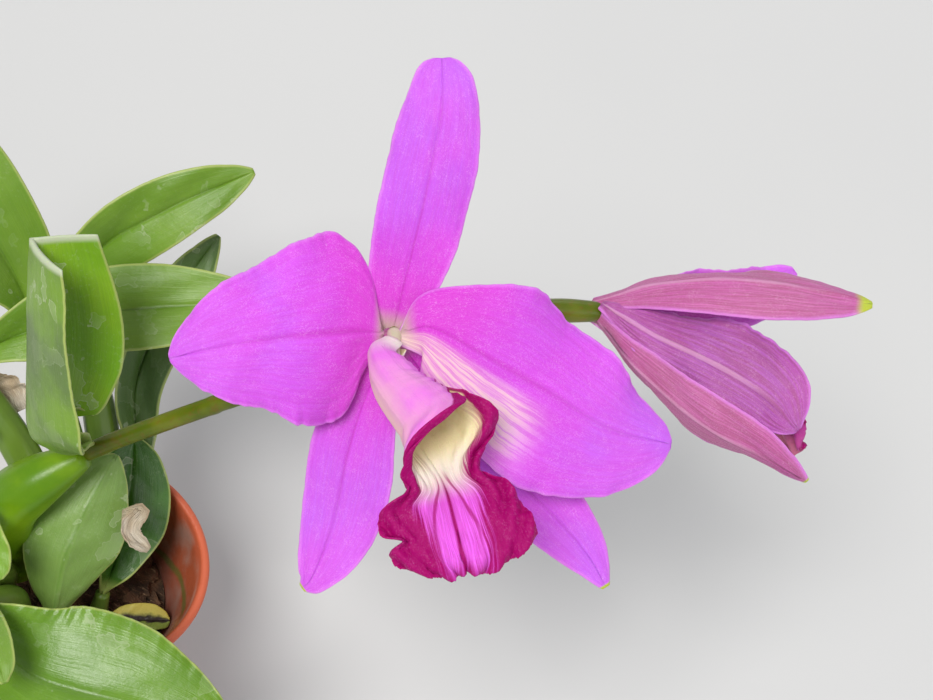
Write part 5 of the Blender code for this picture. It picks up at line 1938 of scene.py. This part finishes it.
BULB_SHAPES: dict[str, tuple[tuple[Point, ...], Stations]] = {
    "bulb_front": (
        ((-19, -4, 28), (-20, -5, 50), (-23.5, -7, 66), (-26, -7, 80), (-22, -2.5, 92),
            (-13.6, 7.2, 103.2)),
        ((0, 3.0), (0.25, 4.4), (0.42, 6.8), (0.62, 9.0), (0.8, 8.0), (0.94, 5.2), (1, 3.6)),
    ),
    "bulb_cross": (
        ((-21, 8, 28), (-22, 9, 50), (-25, 9, 68), (-38, 12, 82), (-55, 17, 91)),
        ((0, 2.6), (0.3, 3.4), (0.6, 5.4), (0.85, 4.6), (1, 3.2)),
    ),
    "bulb_far_left": (
        ((-13.6, 15.6, 28), (-14.6, 17.6, 50), (-19, 19, 67), (-32, 26, 84), (-46, 34, 97)),
        ((0, 2.6), (0.3, 3.3), (0.6, 5.6), (0.85, 4.6), (1, 3.2)),
    ),
    "bulb_rear": (
        ((-6, 20.5, 28), (-7.5, 22.2, 50), (-10.5, 24.6, 65), (-23, 36, 79.5), (-37, 46, 93)),
        ((0, 2.6), (0.3, 3.3), (0.6, 5.2), (0.85, 4.4), (1, 3.0)),
    ),
    "bulb_inner": (
        ((2, 19, 28), (2, 19.5, 48), (1.5, 21, 57), (0, 24, 66)),
        ((0, 2.4), (0.4, 3.4), (0.75, 4.2), (1, 2.6)),
    ),
    "bulb_low": (
        ((2, -20, 28), (2, -21, 42), (2, -21.5, 50), (1.6, -21.5, 57)),
        ((0, 2.4), (0.5, 3.6), (0.8, 3.8), (1, 2.6)),
    ),
    "bulb_oval": (
        ((8, -5, 27), (8, -4, 40), (7, -2, 50)),
        ((0, 2.2), (0.5, 3.0), (1, 2.2)),
    ),
    "bulb_near": (
        ((-9, -19, 28), (-10, -21, 50), (-12, -25, 66), (-16, -34, 77)),
        ((0, 2.6), (0.35, 3.3), (0.65, 4.4), (1, 3.0)),
    ),
    "bulb_small": (
        ((-17, -13.5, 28), (-18.2, -15.6, 50), (-19.2, -18.6, 64), (-25, -31, 76)),
        ((0, 2.2), (0.35, 2.8), (0.65, 3.6), (1, 2.4)),
    ),
}

STALK = ((-12.0, 9.4, 105.3), (-6.6, 12.8, 112.8), (4, 18, 127.5), (22, 27.5, 151), (36, 36, 170),
    (43.1, 40.5, 178.6))
FRONT_STALK = ((42.6, 40.2, 178), (45.0, 39.5, 184), (46.6, 33.5, 195), (46.8, 26, 206),
    (46.6, 21.7, 211.4))
SIDE_STALK = ((42.4, 40.0, 177.8), (51, 45.5, 186), (64, 53.5, 196.5), (77, 60.5, 201.5), (86, 65.7, 203.2))

COLUMN_SHAPES: dict[str, tuple[tuple[Point, ...], Stations]] = {
    "front_column": (
        ((0.3, 0.0, 0.2), (0.4, -4.6, 5.2), (2.8, -11.2, 12.0), (5.4, -16.4, 17.2)),
        ((0, 1.8), (0.12, 1.7), (0.3, 1.5), (0.7, 2.1), (0.92, 2.3), (1, 1.5)),
    ),
    "side_column": (
        ((3.4, -0.4, 0.0), (10.0, -3.2, -0.4), (18.5, -8.0, -1.4), (25.5, -11.8, -2)),
        ((0, 1.2), (0.3, 1.5), (0.7, 2.1), (0.92, 2.3), (1, 1.5)),
    ),
}


# Building in order

TEPAL_RELIEF = Relief(
    groove=0.45, groove_width=0.045, ribs=0.06, rib_count=11, swell=0.4, scallop=0.012, scallop_count=7,
    frill_count=9,
)
LIP_RELIEF = Relief(
    groove=0.5, groove_width=0.03, ribs=0.1, rib_count=13, scallop=0.006, scallop_count=24,
    nicks=((0.80, 1.0, 0.30, 0.016),), frill=0.65, frill_count=16, tooth=0.008, seed=5,
)
LEAF_RELIEF = Relief(groove=0.55, ribs=0.03, swell=0.45, scallop=0.003, seed=7)


def leaf_finishes() -> dict[str, LeafFinish]:
    """Finish of each leaf by its node."""
    green = LeafFinish()
    return {
        "leaf_cut": LeafFinish(
            upper=(0.17, 0.38, 0.006), young=(0.24, 0.45, 0.01), under=(0.12, 0.20, 0.045),
            marks=0.5, cut=0.03,
        ),
        "leaf_cross": green,
        "leaf_far_left": LeafFinish(tip_size=0.03),
        "leaf_rear": green,
        # leaf_inner: its dark colours are painted shade, for a leaf that stands in the shade of the others.
        "leaf_inner": LeafFinish(
            upper=(0.07, 0.14, 0.03), young=(0.10, 0.18, 0.04), under=(0.09, 0.15, 0.05),
        ),
        "leaf_grey": LeafFinish(under=(0.175, 0.30, 0.06), young=(0.22, 0.35, 0.08)),
        # leaf_oval: its very dark colours are painted shade, for a low leaf in the shade of the others.
        "leaf_oval": LeafFinish(upper=(0.018, 0.075, 0.003), young=(0.035, 0.13, 0.006), gloss=0.28),
        "leaf_near": LeafFinish(
            upper=(0.115, 0.245, 0.016), young=(0.16, 0.31, 0.026), gloss=0.30, marks=0.45,
        ),
        "leaf_small": LeafFinish(upper=(0.18, 0.32, 0.04)),
        "leaf_stub": LeafFinish(upper=(0.20, 0.38, 0.03)),
    }


LEAF_SLOTS = {
    "leaf_cut": "leaf_underside",
    "leaf_grey": "leaf_underside",
    "leaf_inner": "leaf_dark",
    "leaf_oval": "leaf_dark",
}
LEAF_OF = {"bulb_front": "leaf_cut", "bulb_low": "leaf_grey"}
DENSE_LEAVES = {"leaf_cut": (120, 49), "leaf_near": (120, 49)}


def make_leaf(name: str, finish: LeafFinish) -> Blade:
    """Set up one leaf.

    Args:
        name: its node.
        finish: its finish.

    Returns:
        The leaf, not built yet.
    """
    rows, columns = DENSE_LEAVES.get(name, (80, 31))
    seed = sum(ord(letter) for letter in name)
    relief = replace(LEAF_RELIEF, seed=seed, frill=0.5 if name == "leaf_near" else 0.1, frill_count=13)
    slot = LEAF_SLOTS.get(name, "leaf_green")
    return Blade(name, LEAF_SHAPES[name], finish, slot, 1.3, relief, rows, columns, root=2.8)


def make_growths() -> list[Growth]:
    """Set up the pseudobulbs with their leaves.

    Returns:
        The growths, not built yet.
    """
    finishes = leaf_finishes()
    skins = {"bulb_front": SkinFinish(color=(0.17, 0.31, 0.004), second=(0.10, 0.23, 0.004))}
    old = SkinFinish(color=(0.15, 0.25, 0.03), second=(0.11, 0.19, 0.03))
    growths = []
    for bulb, (spine, radii) in BULB_SHAPES.items():
        leaf = LEAF_OF.get(bulb, bulb.replace("bulb_", "leaf_"))
        spindle = Spindle(spine, radii, 48, 70, 0.05, 8, (0.18, 0.42))
        growths.append(Growth(bulb, spindle, skins.get(bulb, old), make_leaf(leaf, finishes[leaf])))
    return growths


def make_dry_pieces() -> list[Blade]:
    """Set up the stub and the dead pieces.

    Returns:
        The blades, not built yet.
    """
    paper = Relief(groove=0.1, ribs=0.1, swell=0.5, scallop=0.02, frill=0.3, frill_count=8, seed=31)
    sheath = Blade("dry_sheath", DRY_SHAPES["dry_sheath"], DryFinish(), "dry_papery", 0.7, paper, 50, 61)
    pale = DryFinish(color=(0.66, 0.55, 0.38), pale=(0.86, 0.80, 0.68))
    bract = Blade("dry_bract", DRY_SHAPES["dry_bract"], pale, "dry_papery", 0.7, paper, 50, 31)
    shape = DRY_SHAPES["dying_leaf"]
    dying = Blade("dying_leaf", shape, DyingFinish(), "dying_leaf", 1.2, LEAF_RELIEF, 50, 31)
    return [make_leaf("leaf_stub", leaf_finishes()["leaf_stub"]), sheath, bract, dying]


def make_bloom(bloom: BloomName, prefix: str, shapes: dict[str, BladeShape], finish: TepalFinish) -> Bloom:
    """Set up one bloom.

    Args:
        bloom: which bloom.
        prefix: start of its nodes' names.
        shapes: its sepals and petals.
        finish: their finish.

    Returns:
        The bloom, not built yet.
    """
    tepals = []
    for order, (name, shape) in enumerate(shapes.items()):
        petal = "petal" in name
        relief = replace(TEPAL_RELIEF, seed=order * 5 + len(prefix), frill=0.45 if petal else 0.15)
        look = replace(finish, flare=0.8) if name == "front_petal_right" else finish
        if not petal and "dorsal" not in name:
            look = replace(look, tip_size=0.012)
        elif bloom is BloomName.SIDE:
            look = replace(look, back=(0.46, 0.12, 0.48)) if petal else replace(look, tip_size=0.07)
        size = (100, 61) if petal else (90, 41)
        tepals.append(Blade(name, shape, look, "tepal_" + prefix, 0.9, relief, *size, bloom, 3.6))
    lip_size = (150, 121) if bloom is BloomName.FRONT else (100, 81)
    name = prefix + "_lip"
    lip = Blade(name, LIP_SHAPES[name], LipFinish(), "lip", 0.8, LIP_RELIEF, *lip_size, bloom, 0.8)
    spine, radii = COLUMN_SHAPES[prefix + "_column"]
    column = Spindle(spine, radii, 32, 50, 0.04, 3, stretch=(0.8, 0.0))
    cap = SkinFinish(color=(0.66, 0.50, 0.46), second=(0.56, 0.58, 0.34), scale=200.0)
    return Bloom(bloom, prefix, tepals, lip, column, cap)


def write_sizes() -> None:
    """Update the view layer."""
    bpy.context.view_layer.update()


def main() -> None:
    """Build every piece in order."""
    logging.basicConfig(level=logging.INFO, format="%(name)s: %(message)s", stream=sys.stdout)
    Studio().build()
    Pot().build()
    Bark().build()
    for growth in make_growths():
        growth.build()
    for blade in make_dry_pieces():
        blade.build()
    skin = SkinFinish(
        color=(0.08, 0.12, 0.004), second=(0.16, 0.18, 0.012), blush=(0.20, 0.08, 0.02), blush_share=0.35,
    )
    FlowerStem(STALK, FRONT_STALK, SIDE_STALK, finish=skin).build()
    make_bloom(BloomName.FRONT, "front", FRONT_TEPAL_SHAPES, TepalFinish()).build()
    # Dustier colours for the side bloom, with their own painted-glint colour.
    dusty = TepalFinish(inner=(0.50, 0.03, 0.34), middle=(0.50, 0.05, 0.42), painted_glint=(0.85, 0.50, 0.72))
    make_bloom(BloomName.SIDE, "side", SIDE_TEPAL_SHAPES, dusty).build()
    write_sizes()


if __name__ == "__main__":
    main()
